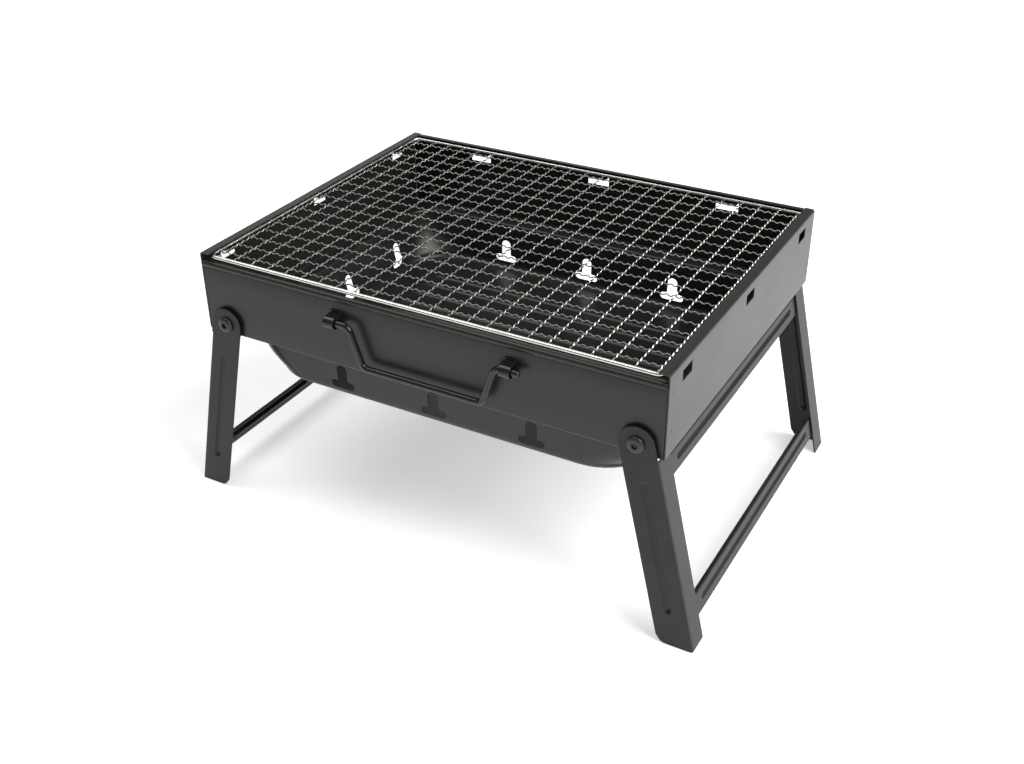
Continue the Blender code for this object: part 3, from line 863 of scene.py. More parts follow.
    def end(self, side: Side) -> None:
        """End wall: flanges top and bottom, three slots with tabs, and weld dimples near its ends.

        The bottom flange's inner edge is straight and then follows the tray opening's round corners:
        corner centre + sqrt(radius^2 - distance^2).

        Args:
            side: left or right.
        """
        out = HALF_LENGTH
        half = HALF_DEPTH
        inner = out - self.end_flange
        flange_half = half - self.bottom_flange - 0.3 * MM
        welds = [sign * (half - self.weld_inset) for sign in (-1, 1)]
        around_weld = np.linspace(-1.25, 1.25, 9) * self.weld_radius
        marks = [-half, half, -flange_half, flange_half, *self.slot_marks(self.end_slot)]
        marks += [w + d for w in welds for d in around_weld]
        marks += [s * (flange_half - d) for s in (-1, 1) for d in np.linspace(0.9 * MM, 11 * MM, 7)]
        places = stations(marks, self.step)
        heights = [self.slot_low, self.slot_high, FRAME_BOTTOM + self.bend, FRAME_TOP - self.top_bend]
        heights += [w + d for w in self.weld_heights for d in around_weld]
        face = stations(heights, self.step)
        flange = np.linspace(inner, out - self.bend - 0.5 * MM, 5)
        path = np.vstack([np.stack([flange, np.full(5, FRAME_BOTTOM)], 1), self.bottom_bend(out),
                          np.stack([np.full(len(face) - 2, out), face[1:-1]], 1),
                          arc((out - self.top_bend, FRAME_TOP - self.top_bend), self.top_bend, 0, 90, 7),
                          [[out - 0.6 * self.top_flange, FRAME_TOP], [out - self.top_flange, FRAME_TOP]]])
        offset, height, line = spread(path, places)
        radius = self.opening_corner
        into = np.clip(np.abs(line) - (flange_half - radius), 0.0, 0.97 * radius)
        edge = inner - radius + np.sqrt(radius ** 2 - into ** 2)
        base = out - self.bend
        on_flange = (height < FRAME_BOTTOM + HAIR) & (offset < base)
        offset = np.where(on_flange, edge + (offset - inner) * (base - edge) / (base - inner), offset)
        dent = np.zeros(offset.shape)
        for weld in welds:
            for level in self.weld_heights:
                away = np.hypot(line - weld, height - level)
                dent = np.maximum(dent, 1.0 - smooth(away, 0.2 * self.weld_radius, self.weld_radius))
        offset = offset - self.weld_depth * dent
        low = halfway(path[:, 1]) < FRAME_BOTTOM + HAIR
        notched = low[:, None] & (np.abs(halfway(places)) > flange_half)[None, :]
        keep = ~self.slotted(path, places, self.end_slot) & ~notched
        pattern = Pattern()
        pattern.grid(lay(line, side.value * offset, height, False), keep, outward=(side.value, 0, 0))
        self.tabs(pattern, self.end_slot, out, False, side.value)
        wall = thicken(pattern.mesh(f"{side.word}_end_wall_sheet", False), self.sheet)
        self.shop.dress(wall, self.shop.paints.ends, "fire_frame", f"{side.word}_end_wall")

    def build(self) -> None:
        """Build the four walls."""
        self.front()
        self.back()
        for side in Side:
            self.end(side)


@dataclass
class Handle:
    """The wire bail and the two straps that hold it."""

    shop: Workshop
    radius: float = 2.3 * MM
    end_x: float = 70.4 * MM
    shoulder_x: float = 55.0 * MM
    foot_x: float = 45.2 * MM
    drop: float = 28.5 * MM
    shoulder_bend: float = 6.0 * MM
    foot_bend: float = 5.5 * MM
    lug_inner: float = 3.1 * MM
    lug_sheet: float = 1.2 * MM
    lug_foot: float = 2.0 * MM

    def half_path(self) -> Array:
        """Return the right half of the bail: (x, height) from its middle to its end, bends as arcs."""
        corners = np.array([[0.0, -self.drop], [self.foot_x, -self.drop], [self.shoulder_x, 0.0],
                            [self.end_x, 0.0]])
        points = [corners[:1]]
        for i, radius in ((1, self.foot_bend), (2, self.shoulder_bend)):
            into = (corners[i - 1] - corners[i]) / np.linalg.norm(corners[i - 1] - corners[i])
            away = (corners[i + 1] - corners[i]) / np.linalg.norm(corners[i + 1] - corners[i])
            half = math.acos(float(np.clip(into @ away, -1, 1))) / 2
            centre = corners[i] + (into + away) / np.linalg.norm(into + away) * radius / math.sin(half)
            first = corners[i] + into * radius / math.tan(half) - centre
            last = corners[i] + away * radius / math.tan(half) - centre
            share = np.linspace(0.0, 1.0, 15)[:, None]
            sweep = math.pi - 2 * half
            blend = first * np.sin((1 - share) * sweep) + last * np.sin(share * sweep)
            points.append(centre + blend / math.sin(sweep))
        points.append(corners[3:])
        return fine(np.vstack(points), 4 * MM)

    def bail(self) -> None:
        """Bend and paint the bail."""
        low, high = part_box("handle_bail")
        axis_y = (low.y + high.y) / 2
        axis_z = high.z - self.radius
        middle = (low.x + high.x) / 2
        right = self.half_path()
        flat = np.vstack([right[::-1] * [-1, 1], right[1:]])
        path = np.stack([middle + flat[:, 0], np.full(len(flat), axis_y), axis_z + flat[:, 1]], axis=1)
        path, size = domed(path, self.radius)
        pattern = Pattern()
        tube(pattern, path, (0, 1, 0), size, 20)
        bail = pattern.mesh("handle_wire", True)
        self.shop.dress(bail, self.shop.paints.gloss, "handle", "handle_bail")

    def lug(self, side: Side) -> None:
        """Bend one strap: feet on the wall, and between them a half round about the wire.

        Args:
            side: left or right.
        """
        node = f"{side.word}_handle_lug"
        low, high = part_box(node)
        contact = high.y - 2 * HAIR
        outer = self.lug_inner + self.lug_sheet
        axis_y = low.y + outer
        step = high.y - self.lug_sheet
        foot = outer + self.lug_foot
        upper = np.array([[contact, foot], [step + 0.25 * MM, foot], [step, foot - 0.3 * MM],
                          [step, outer + 0.5 * MM], [step - 0.5 * MM, outer]])
        mouth = np.array([[contact, self.lug_inner + 0.05 * MM]])
        path = np.vstack([upper, arc((axis_y, 0.0), outer, 96, 264, 18), upper[::-1] * [1, -1],
                          mouth * [1, -1], arc((axis_y, 0.0), self.lug_inner, 268, 92, 16), mouth])
        margin = 0.35 * MM
        y, z, x = spread(path, np.array([low.x, low.x + margin, high.x - margin, high.x]))
        grid = np.stack([x, y, (low.z + high.z) / 2 + z], axis=-1)
        pattern = Pattern()
        number = pattern.grid(grid, loop=True)
        pattern.cap(number[:, 0])
        pattern.cap(number[::-1, -1])
        strap = pattern.mesh(f"{side.word}_handle_strap", True)
        ease(strap, 0.3 * MM, 60, clamp=True)
        self.shop.dress(strap, self.shop.paints.gloss, "fire_frame", node)

    def build(self) -> None:
        """Build the bail and its straps."""
        self.bail()
        for side in Side:
            self.lug(side)


@dataclass
class LegFrame:
    """One leg frame: two folded legs, two crossbars, and the bolts, washers and nuts that they turn on."""

    shop: Workshop
    side: Side
    splay: float = math.radians(13.2)
    pivot_x: float = 157.0 * MM
    pivot_z: float = 147.0 * MM
    sheet: float = 1.2 * MM
    half_width: float = 12.2 * MM
    standoff: float = 1.8 * MM
    flange: float = 18.0 * MM
    bend: float = 1.9 * MM
    foot_corner: float = 6.0 * MM
    foot_lift: float = 0.3 * MM
    rib_half: float = 2.9 * MM
    rib_depth: float = 0.95 * MM
    rib_ends: tuple[float, float] = (29.0 * MM, 122.0 * MM)
    rib_slope: float = 1.6 * MM
    rib_zone: float = 3.4 * MM
    dimple_radius: float = 1.5 * MM
    dimple_depth: float = 0.8 * MM
    bar_half: float = 125.0 * MM
    bar_sheet: float = 1.0 * MM
    bar_bend: float = 1.2 * MM
    bar_lip: float = 2.2 * MM
    bar_lip_half: float = 118.5 * MM
    groove_half: float = 2.3 * MM
    groove_depth: float = 3.2 * MM
    groove_slope: float = 1.0 * MM
    groove_reach: float = 109.5 * MM
    upper_bar: tuple[float, float] = (17.5 * MM, 32.0 * MM)
    lower_bar: tuple[float, float] = (122.0 * MM, 138.0 * MM)

    @property
    def body(self) -> str:
        """The body that the legs ride on."""
        return f"{self.side.word}_legs"

    def down(self, across: Array | float, height: float) -> Array | float:
        """Return how far down the leg a height is: (pivot - height + across * sin) / cos of the splay."""
        return (self.pivot_z - height + across * math.sin(self.splay)) / math.cos(self.splay)

    def stand(self, across: Array, down: Array, y: Array) -> Array:
        """Turn leg coordinates into the grill's: the leg leans out by its splay from the pivot.

        Args:
            across: distance outwards from the leg's centre line.
            down: distance down it from the pivot.
            y: place along Y, from the frame's middle.

        Returns:
            The points.
        """
        lean, upright = math.sin(self.splay), math.cos(self.splay)
        x = self.pivot_x + down * lean + across * upright
        z = self.pivot_z - down * upright + across * lean
        return np.stack([self.side.value * x, CENTRE_Y + y, z], axis=-1)

    def leg(self, end: End) -> None:
        """Fold one leg: a plate with a round top and a pressed rib, and a flange along its outer edge.

        Above the pivot the plate narrows as half_width * sqrt(1 - (down / half_width)^2). The flange
        starts lower, level with the frame's bottom. The rib is a round-ended channel pressed in.

        Args:
            end: front or back.
        """
        half = self.half_width
        face = HALF_DEPTH + self.standoff + self.sheet
        start = float(self.down(half, FRAME_BOTTOM - 0.4 * MM))
        beside = self.rib_half + 0.6 * MM
        plate = stations([-half, half - self.bend, -beside, beside], 2.2 * MM)
        plate = np.unique(np.concatenate([plate, np.linspace(-self.rib_zone, self.rib_zone, 18)]))
        turn = arc((half - self.bend, -self.bend), self.bend, 90, 0, 6)[1:]
        inward = np.linspace(self.bend, self.flange, 7)[1:]
        across = np.concatenate([plate, turn[:, 0], np.full(len(inward), half)])
        drop = np.concatenate([np.zeros(len(plate)), -turn[:, 1], inward])
        crown = -half * np.cos(np.linspace(0.06, math.pi / 2, 14))
        rib = np.concatenate([end_of_rib + np.linspace(-1, 1, count) * self.rib_zone
                              for end_of_rib, count in zip(self.rib_ends, (12, 18))])
        shank = stations([0.0, start, start + 0.5 * MM, 136.0 * MM, *rib], 5 * MM)[1:]
        foot = np.linspace(0.0, 1.0, 9)[1:]
        rows = np.concatenate([crown, shank])
        grid_across = np.repeat(across[None, :], len(rows) + len(foot), axis=0)
        foot_end = np.asarray(self.down(across, self.foot_lift), float)
        corner = np.clip(self.foot_corner - (across + half), 0.0, self.foot_corner)
        foot_end = foot_end - (self.foot_corner - np.sqrt(self.foot_corner ** 2 - corner ** 2))
        last = rows[-1]
        below = last + foot[:, None] * (foot_end[None, :] - last)
        down = np.vstack([np.repeat(rows[:, None], len(across), axis=1), below])
        narrow = np.sqrt(np.clip(1.0 - (np.minimum(rows, 0.0) / half) ** 2, 0.0, 1.0))
        narrow = np.concatenate([narrow, np.ones(len(foot))])[:, None]
        above = down < start + 0.25 * MM
        full = above & (grid_across > half - self.bend - 1e-9)
        stretched = (grid_across + half) * (2 * half) / (2 * half - self.bend) - half
        wide = np.where(above, stretched, grid_across)
        wide = np.where(np.abs(grid_across) < 4 * MM, grid_across, wide)
        grid_across = np.where(full, half, wide) * narrow
        depth = self.rib_depth * channel(grid_across, down, self.rib_half, self.rib_ends, self.rib_slope)
        dimple = np.hypot(grid_across, down - self.rib_ends[1] - 0.3 * MM)
        depth = depth + self.dimple_depth * (1.0 - smooth(dimple, 0.3 * MM, self.dimple_radius))
        out = face - np.where(full, 0.0, drop[None, :]) - depth
        spots = self.stand(grid_across, down, end.value * out)
        bent = np.arange(len(across) - 1) >= len(plate) - 1
        high = down[1:, 0] < start + 0.6 * MM
        keep = ~(high[:, None] & bent[None, :])
        pattern = Pattern()
        pattern.grid(spots, keep, outward=(0, end.value, 0))
        name = f"{self.side.word}_{end.word}_leg"
        leg = thicken(pattern.mesh(f"{name}_sheet", False), self.sheet, 0.28 * MM)
        self.shop.dress(leg, self.shop.paints.legs, self.body, name)

    def crossbar(self, level: str, span: tuple[float, float]) -> None:
        """Fold one crossbar: a strip with a groove pressed along it and a lip along its top.

        The groove is a round-ended channel, deepest at its upper wall: depth * (half - down) / (2 half).

        Args:
            level: upper or lower.
            span: where it starts and ends, down the leg from the pivot.
        """
        top, bottom = span
        out = self.half_width - self.sheet - 0.3 * MM
        radius = self.bar_bend
        middle = (top + bottom) / 2
        groove = middle + np.linspace(-3.0, 3.0, 31) * MM
        lip = [[out - self.bar_lip - self.bar_sheet, top], [out - self.bar_lip, top]]
        face = stations([top + radius + 0.4 * MM, bottom - 0.6 * MM, bottom, *groove], 2 * MM)
        path = np.vstack([lip, arc((out - radius, top + radius), radius, -90, 0, 5),
                          np.stack([np.full(len(face), out), face], 1)])
        tips = [s * (self.groove_reach + d * MM) for s in (-1, 1) for d in np.linspace(-3.0, 3.0, 13)]
        marks = [s * place for s in (-1, 1) for place in (self.bar_half, self.bar_lip_half)]
        places = stations([*marks, *tips], 10 * MM)
        across, down, line = spread(path, places)
        reach = self.groove_reach - self.groove_half
        ramp = np.clip((self.groove_half - (down - middle)) / (2 * self.groove_half), 0.0, 1.0)
        pressed = channel(down - middle, line, self.groove_half, (-reach, reach), self.groove_slope)
        pressed = np.where(across > out - HAIR, self.groove_depth * ramp * pressed, 0.0)
        lipped = halfway(path[:, 0]) < out - radius + HAIR
        beyond = np.abs(halfway(places)) > self.bar_lip_half
        keep = ~(lipped[:, None] & beyond[None, :])
        pattern = Pattern()
        pattern.grid(self.stand(across - pressed, down, line), keep, outward=(self.side.value, 0, 0))
        name = f"{self.side.word}_{level}_crossbar"
        bar = thicken(pattern.mesh(f"{name}_strip", False), self.bar_sheet)
        self.shop.dress(bar, self.shop.paints.legs, self.body, name)

    def fastener(self, end: End, kind: str, made: str, profile: Array, shaped: Array | None = None,
                 closed: bool = True) -> None:
        """Turn one fastener about the pivot's axis, finish it and put it on the fire frame.

        Args:
            end: front or back.
            kind: what the node calls it.
            made: how it was made, which the piece's name adds.
            profile: its (radius, height) points, height 0 being the wall's outer face.
            shaped: how far each point of the profile follows a hexagon.
            closed: True where the profile is a loop, False where it starts and ends at the axis.
        """
        pattern = Pattern()
        points = turned(profile, 48, None if shaped is None else hexagon(48), shaped)
        number = pattern.grid(face_out(points, self.side.value * self.pivot_x, self.pivot_z, end),
                              around=True, loop=closed)
        if not closed:
            pattern.cap(number[0])
            pattern.cap(number[-1])
        name = f"{self.side.word}_{end.word}_{kind}"
        piece = pattern.mesh(f"{name}_{made}", True)
        self.shop.dress(piece, self.shop.paints.fastener, "fire_frame", name)

    def bolt(self, end: End) -> None:
        """Turn one button-head bolt: a domed head with a hexagonal socket, and a threaded tail.

        The thread is a ripple of the tail's radius: r - depth * (1 + cos(2 pi h / pitch)) / 2.

        Args:
            end: front or back.
        """
        seat = self.standoff + self.sheet + 0.3 * MM
        crown = seat + 2.3 * MM
        rim, shank, socket, flat = 5.8 * MM, 3.0 * MM, 2.3 * MM, 2.6 * MM
        tail = np.linspace(-6.1 * MM, -1.2 * MM, 40)
        pitch, depth = 1.0 * MM, 0.22 * MM
        thread = shank - depth * (1 + np.cos(math.tau * tail / pitch)) / 2
        dome = np.radians(np.linspace(6, 76, 10))
        height = crown - seat - 0.5 * MM
        head = np.stack([flat + (rim - flat) * np.cos(dome), seat + 0.5 * MM + height * np.sin(dome)], 1)
        profile = np.vstack([[[0.2 * MM, -6.4 * MM], [2.3 * MM, -6.4 * MM]], np.stack([thread, tail], 1),
                             [[shank, -0.8 * MM], [shank, seat]],
                             [[rim - 0.2 * MM, seat], [rim, seat + 0.2 * MM]],
                             head, [[2.75 * MM, crown], [socket + 0.15 * MM, crown - 0.04 * MM]],
                             [[socket, crown - d * MM] for d in (0.2, 0.9, 1.5)],
                             [[1.2 * MM, crown - 1.75 * MM], [0.15 * MM, crown - 1.95 * MM]]])
        shaped = np.zeros(len(profile))
        shaped[-6:-2] = (0.6, 1.0, 1.0, 1.0)
        self.fastener(end, "pivot_bolt", "turned", profile, shaped, closed=False)

    def washer(self, end: End) -> None:
        """Stamp one washer with its edges rounded off.

        Args:
            end: front or back.
        """
        inner, outer, edge = 3.4 * MM, 7.5 * MM, 0.25 * MM
        half = np.array([[inner, edge], [inner + edge, 0.0], [outer - edge, 0.0], [outer, edge]])
        self.fastener(end, "washer", "stamped", both_faces(half, 0.3 * MM, self.standoff - 0.3 * MM))

    def nut(self, end: End) -> None:
        """Make one hexagonal nut, its corners turned back at both faces.

        Args:
            end: front or back.
        """
        corner, bore = 5.6 * MM, 3.4 * MM
        half = np.array([[bore, 0.5 * MM], [bore + 0.5 * MM, 0.0], [0.86 * corner, 0.0],
                         [0.98 * corner, 0.5 * MM], [corner, 0.8 * MM]])
        shaped = np.array([0.0, 0.0, 0.0, 0.55, 1.0, 1.0, 0.55, 0.0, 0.0, 0.0])
        self.fastener(end, "nut", "pressed", both_faces(half, -4.9 * MM, -1.3 * MM), shaped)

    def build(self) -> None:
        """Build the leg frame and its fasteners."""
        for end in End:
            self.leg(end)
            self.bolt(end)
            self.washer(end)
            self.nut(end)
        self.crossbar("upper", self.upper_bar)
        self.crossbar("lower", self.lower_bar)


@dataclass
class FireTray:
    """The drawn fire tray: a ribbed floor, sloping walls, a flat rim and keyhole vents."""

    shop: Workshop
    sheet: float = 0.9 * MM
    floor_z: float = 101.0 * MM
    rim_z: float = 139.8 * MM
    floor_half: tuple[float, float] = (150.0 * MM, 117.0 * MM)
    top_half: tuple[float, float] = (158.0 * MM, 118.0 * MM)
    floor_corner: float = 42.0 * MM
    top_corner: float = 22.0 * MM
    rim_corner: float = 19.5 * MM
    corner_fullness: float = 2.6
    bend: float = 6.0 * MM
    rim: float = 7.5 * MM
    rim_bend: float = 1.6 * MM
    rib_pitch: float = 16.6 * MM
    rib_half: float = 2.6 * MM
    rib_height: float = 1.1 * MM
    rib_reach: float = 118.0 * MM
    vent_low: float = 107.0 * MM
    vent_base: tuple[float, float] = (19.5 * MM, 6.0 * MM)
    vent_neck: float = 8.2 * MM
    vent_height: float = 19.0 * MM
    long_pitch: float = 75.0 * MM
    end_pitch: float = 68.0 * MM

    def floor_grid(self) -> Array:
        """Return the floor: rows of constant y whose half-length follows the round corners.

        x = a * X(y), a from -1 to 1; X is the floor's half-length, and past the corner's start it is
        core + sqrt(corner^2 - distance^2). Ribs are raised as round-ended channels along X.
        """
        half_x, half_y = (h - self.bend for h in self.floor_half)
        corner = self.floor_corner - self.bend
        ribs = [(i + 0.5) * self.rib_pitch for i in range(-5, 5)]
        marks = [-half_y, half_y]
        marks += [r + d for r in ribs for d in np.linspace(-1.0, 1.0, 13) * self.rib_half]
        bend = half_y - corner * (1 - np.cos(np.radians(range(10, 90, 8))))
        marks += [*bend, *-bend]
        y = stations(marks, 4 * MM)
        into = np.clip(np.abs(y) - (half_y - corner), 0.0, corner)
        length = half_x - corner + np.sqrt(corner ** 2 - into ** 2)
        tips = 0.78 + 0.06 * np.linspace(-1, 1, 9)
        a = stations([-1.0, 1.0, *tips, *-tips], 0.04)
        x = length[:, None] * a[None, :]
        line = np.repeat(y[:, None], len(a), axis=1)
        raised = np.zeros(x.shape)
        for rib in ribs:
            ends = (-self.rib_reach, self.rib_reach)
            raised += channel(line - rib, x, self.rib_half, ends, self.rib_half)
        return np.stack([x, line, self.floor_z + self.rib_height * raised], axis=-1)

    def rings(self, edge: Array) -> Array:
        """Return the walls and the rim as rings that start at the floor's edge.

        A ring point is core share * (half size - corner) + corner * n. The core share and the normal n
        are those of the floor edge's own points, so every ring has a point for each of them. Up the wall,
        by a share t, the half sizes rise evenly and the corner shrinks as (1 - t) ^ corner_fullness.

        Args:
            edge: the floor's edge, in order.

        Returns:
            Rings by points by 3.
        """
        half_x, half_y = (h - self.bend for h in self.floor_half)
        corner = self.floor_corner - self.bend
        core = np.array([half_x - corner, half_y - corner])
        nearest = np.clip(edge[:, :2], -core, core)
        normal = edge[:, :2] - nearest
        normal /= np.linalg.norm(normal, axis=1, keepdims=True)
        share = nearest / core
        levels = []
        for angle in np.radians(np.linspace(0, 86, 9)):
            grow, lift = self.bend * math.sin(angle), self.bend * (1 - math.cos(angle))
            levels.append((half_x + grow, half_y + grow, corner + grow, self.floor_z + lift))
        low = levels[-1]
        high = (*self.top_half, self.top_corner, self.rim_z - self.rim_bend)
        for t in np.linspace(0.0, 1.0, 17)[1:]:
            half_x, half_y, corner, level = (a + t * (b - a) for a, b in zip(low, high))
            corner = high[2] + (low[2] - high[2]) * (1 - t) ** self.corner_fullness
            levels.append((half_x, half_y, corner, level))
        for angle in np.radians(np.linspace(12, 90, 6)):
            grow, lift = self.rim_bend * (1 - math.cos(angle)), self.rim_bend * math.sin(angle)
            levels.append((high[0] + grow, high[1] + grow, high[2] + grow, high[3] + lift))
        for share_out in (0.6, 0.93, 1.0):
            grow = self.rim_bend + share_out * (self.rim - self.rim_bend)
            corner = high[2] + share_out * (self.rim_corner - high[2])
            levels.append((high[0] + grow, high[1] + grow, corner, self.rim_z))
        size = np.array(levels)
        flat = share[None] * (size[:, None, :2] - size[:, None, 2:3]) + size[:, None, 2:3] * normal[None]
        height = np.repeat(size[:, 3:4], len(edge), axis=1)
        return np.concatenate([flat, height[..., None]], axis=-1)

    def vent(self) -> Array:
        """Return the keyhole outline: a low slot with round ends, a neck with fillets, a round head."""
        width, tall = self.vent_base
        end, neck = tall / 2, self.vent_neck / 2
        fillet = 1.2 * MM
        base = self.vent_low + end
        right = np.vstack([arc((width / 2 - end, base), end, -90, 84, 10),
                           arc((neck + fillet, self.vent_low + tall + fillet), fillet, -90, -180, 4),
                           arc((0.0, self.vent_low + self.vent_height - neck), neck, 0, 90, 8)])
        return np.vstack([right, right[-2::-1] * [-1, 1]])

    def cutter(self) -> bpy.types.Object:
        """Return the twelve keyhole punches as one object."""
        outline = self.vent()
        walls = ((True, self.long_pitch, self.top_half[1]), (False, self.end_pitch, self.top_half[0]))
        pattern = Pattern()
        for i, sign, (lengthwise, pitch, reach) in product((-1, 0, 1), (-1, 1), walls):
            depth = np.array([reach - 14 * MM, reach + 4 * MM]) * sign
            line, height, deep = spread(outline + [i * pitch, 0.0], depth)
            number = pattern.grid(lay(line, deep, height, lengthwise), loop=True)
            pattern.cap(number[:, 0])
            pattern.cap(number[::-1, 1])
        return pattern.mesh("vent_punch", True)

    def build(self) -> None:
        """Draw the tray, punch its vents and paint it."""
        floor = self.floor_grid()
        edge = np.vstack([floor[0, :-1], floor[:-1, -1], floor[-1, :0:-1], floor[:0:-1, 0]])
        pattern = Pattern()
        shift = np.array([0.0, CENTRE_Y, 0.0])
        pattern.grid(floor + shift, outward=(0, 0, -1))
        walls = self.rings(edge) + shift
        pattern.grid(walls, around=True, outward=(0, 0, -1))
        tray = thicken(pattern.mesh("fire_tray_drawn", False), self.sheet, 0.0)
        punch = self.cutter()
        cut = tray.modifiers.new("vents", "BOOLEAN")
        cut.operation = "DIFFERENCE"
        cut.solver = "EXACT"
        cut.object = punch
        settle(tray)
        bpy.data.objects.remove(punch)
        tray.data.set_sharp_from_angle(angle=SHARP_ANGLE)
        self.shop.dress(tray, self.shop.paints.tray, "tray", "fire_tray")


@dataclass
class Grate:
    """The cooking grate: crimped wires woven over and under each other, hooked over a rim rod."""

    shop: Workshop
    rim_radius: float = 1.5 * MM
    half_length: float = 170.0 * MM
    half_depth: float = 131.2 * MM
    corner: float = 6.0 * MM
    wire: float = 0.5 * MM
    crimp: float = 0.55 * MM
    pitch: float = 14.3 * MM
    waves: float = 2.5
    across: int = 24
    along: int = 18
    rings_per_wave: int = 10
    segments: int = 7

    @property
    def level(self) -> float:
        """The height of the rim's middle."""
        low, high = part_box("grate_rim")
        return (low.z + high.z) / 2

    def rim(self) -> None:
        """Bend the rim rod: four straight runs and four round corners."""
        inner = (self.half_length - self.corner, self.half_depth - self.corner)
        corners = [arc((sx * inner[0], sy * inner[1]), self.corner, turn, turn + 90, 10)
                   for sx, sy, turn in ((1, 1, 0), (-1, 1, 90), (-1, -1, 180), (1, -1, 270))]
        loop = np.vstack([*corners, corners[0][:1]])
        flat = fine(loop, 8 * MM)[:-1]
        path = lay(flat[:, 0], flat[:, 1], np.full(len(flat), self.level), True)
        pattern = Pattern()
        tube(pattern, path, (0, 0, 1), self.rim_radius, 16, closed=True)
        rod = pattern.mesh("grate_rim_rod", True)
        self.shop.dress(rod, self.shop.paints.wire, "grate", "grate_rim")

    def woven(self, reach: float, count: int, phase: int, hooked: bool) -> Array:
        """Return one wire as (along, height): crimp * sign * cos(2 pi waves along / pitch), then its ends.

        At each end the crimp fades. The wire then hooks over the rim rod and down its outer side, or it
        sinks by a smooth step and is welded under the rod.

        Args:
            reach: the rim's distance from the middle.
            count: how many wires it crosses.
            phase: 0 or 1: whether it starts over or under the first of them.
            hooked: True where it hooks over the rim.

        Returns:
            Points by 2.
        """
        lap = self.rim_radius + self.wire
        straight = reach - lap - 0.8 * MM
        steps = int(2 * straight * self.waves / self.pitch * self.rings_per_wave)
        along = np.linspace(-straight, straight, steps)
        shift = 0.5 * self.pitch * ((count + 1) % 2)
        turn = math.tau * self.waves * (along + shift) / self.pitch
        fade = 1.0 - smooth(np.abs(along), straight - 2.2 * MM, straight)
        height = self.crimp * (1 - 2 * phase) * np.cos(turn) * fade
        if hooked:
            hook = arc((reach, 0.0), lap, 168, -38, 16)
        else:
            run = np.linspace(straight + 0.2 * MM, reach + 0.4 * MM, 14)
            hook = np.stack([run, -0.8 * self.rim_radius * smooth(run, straight, reach - 0.6 * MM)], 1)
        left = hook[::-1] * [-1, 1]
        return np.vstack([left, np.stack([along, height], 1), hook])

    def wires(self, name: str, lengthwise: bool, nodes: tuple[str, ...]) -> None:
        """Weave all wires of one direction.

        Args:
            name: the piece's name.
            lengthwise: True for the wires that run along X.
            nodes: the nodes that the piece replaces.
        """
        count, crossed = (self.along, self.across) if lengthwise else (self.across, self.along)
        reach = self.half_length if lengthwise else self.half_depth
        pattern = Pattern()
        for i in range(count):
            phase = (i + (0 if lengthwise else 1)) % 2
            offset = (i - (count - 1) / 2) * self.pitch
            flat = self.woven(reach, crossed, phase, lengthwise)
            path = lay(flat[:, 0], np.full(len(flat), offset), self.level + flat[:, 1], lengthwise)
            tube(pattern, path, (0, 1, 0) if lengthwise else (1, 0, 0), self.wire, self.segments)
        wires = pattern.mesh(name, True)
        self.shop.dress(wires, self.shop.paints.wire, "grate", *nodes)

    def build(self) -> None:
        """Build the rim and the two sets of wires."""
        self.rim()
        self.wires("grate_wires_lengthwise", True, ("grate_mesh",))
        self.wires("grate_wires_crosswise", False, ())


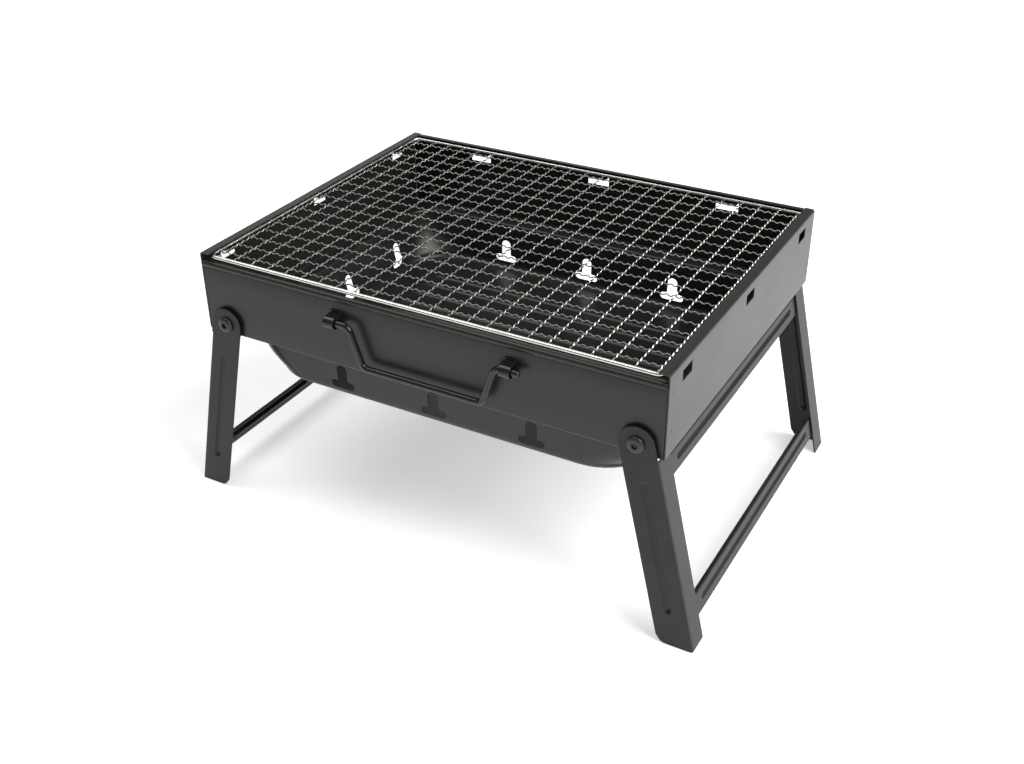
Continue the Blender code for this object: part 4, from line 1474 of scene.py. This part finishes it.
@dataclass
class Studio:
    """Pale floor, soft lights and the camera."""

    paints: PaintShop
    floor_half: float = 14.0
    room: float = 0.26
    azimuth: float = math.radians(29.3828)
    elevation: float = math.radians(31.2020)
    roll: float = math.radians(-0.49557)
    aim: tuple[float, float, float] = (0.019146, -0.042869, 0.1)
    distance: float = 0.891758
    lens: float = 43.601

    def floor(self) -> None:
        """Lay the floor, a flat square lit a little from below, under the feet."""
        half = self.floor_half
        line = np.linspace(-half, half, 3)
        x, y = np.meshgrid(line, line)
        pattern = Pattern()
        pattern.grid(np.stack([x, y, np.full(x.shape, -0.02 * MM)], axis=-1), outward=(0, 0, 1))
        sheet = pattern.mesh("studio_floor", False)
        self.paints.coat(sheet, self.paints.floor)

    def light(self, name: str, place: Vector, aim: Vector, size: tuple[float, float], power: float) -> None:
        """Hang one softbox.

        Args:
            name: its name.
            place: where it hangs.
            aim: where it points.
            size: its width and height.
            power: its power in watts.
        """
        data = bpy.data.lights.new(name, "AREA")
        data.shape = "RECTANGLE"
        data.size, data.size_y = size
        data.energy = power
        lamp = bpy.data.objects.new(name, data)
        turn = (aim - place).to_track_quat("-Z", "Y").to_matrix().to_4x4()
        lamp.matrix_world = Matrix.Translation(place) @ turn
        bpy.context.scene.collection.objects.link(lamp)

    def lights(self) -> None:
        """Hang the softboxes and light the room."""
        world = bpy.data.worlds.new("studio_room")
        world.use_nodes = True
        room = world.node_tree.nodes["Background"]
        room.inputs["Color"].default_value = (1.0, 1.0, 1.0, 1.0)
        room.inputs["Strength"].default_value = self.room
        bpy.context.scene.world = world
        middle = Vector((0.0, CENTRE_Y, 0.1))
        self.light("key_softbox", Vector((1.25, -0.2, 1.5)), middle, (1.2, 1.2), 40.0)
        self.light("overhead_softbox", Vector((-0.8, -0.1, 1.8)), middle, (1.2, 1.2), 14.0)
        self.light("back_strip", Vector((-1.2, 1.7, 1.1)), middle, (1.2, 0.6), 2.0)
        self.light("floor_softbox", Vector((2.4, 0.9, 1.1)), Vector((1.1, 0.7, 0.0)), (1.2, 1.0), 34.0)

    def camera(self) -> None:
        """Set up the camera: it looks at its aim from its azimuth and elevation, with a slight roll."""
        az, el, roll = self.azimuth, self.elevation, self.roll
        back = Vector((math.sin(az) * math.cos(el), -math.cos(az) * math.cos(el), math.sin(el)))
        level = (-back).cross(Vector((0, 0, 1))).normalized()
        upright = level.cross(-back)
        right = math.cos(roll) * level + math.sin(roll) * upright
        up = math.cos(roll) * upright - math.sin(roll) * level
        data = bpy.data.cameras.new("studio_camera")
        data.lens = self.lens
        data.sensor_width = 36.0
        data.clip_start = 0.01
        turn = Matrix((right, up, back)).transposed().to_4x4()
        view = bpy.data.objects.new("studio_camera", data)
        aim = Vector(self.aim) + Vector((0.0, CENTRE_Y, 0.0))
        view.matrix_world = Matrix.Translation(aim + back * self.distance) @ turn
        bpy.context.scene.collection.objects.link(view)
        bpy.context.scene.camera = view

    def build(self) -> None:
        """Set up the whole studio."""
        self.floor()
        self.lights()
        self.camera()
        bpy.context.scene.view_settings.view_transform = "Standard"


def main() -> None:
    """Build every sub-assembly in order and report its pieces."""
    logging.basicConfig(level=logging.INFO, format="%(message)s")
    paints = PaintShop()
    shop = Workshop(paints)
    FireFrame(shop).build()
    Handle(shop).build()
    for side in Side:
        LegFrame(shop, side).build()
    FireTray(shop).build()
    Grate(shop).build()
    Studio(paints).build()
    LOG.info("%d pieces", len(shop.pieces))


if __name__ == "__main__":
    main()
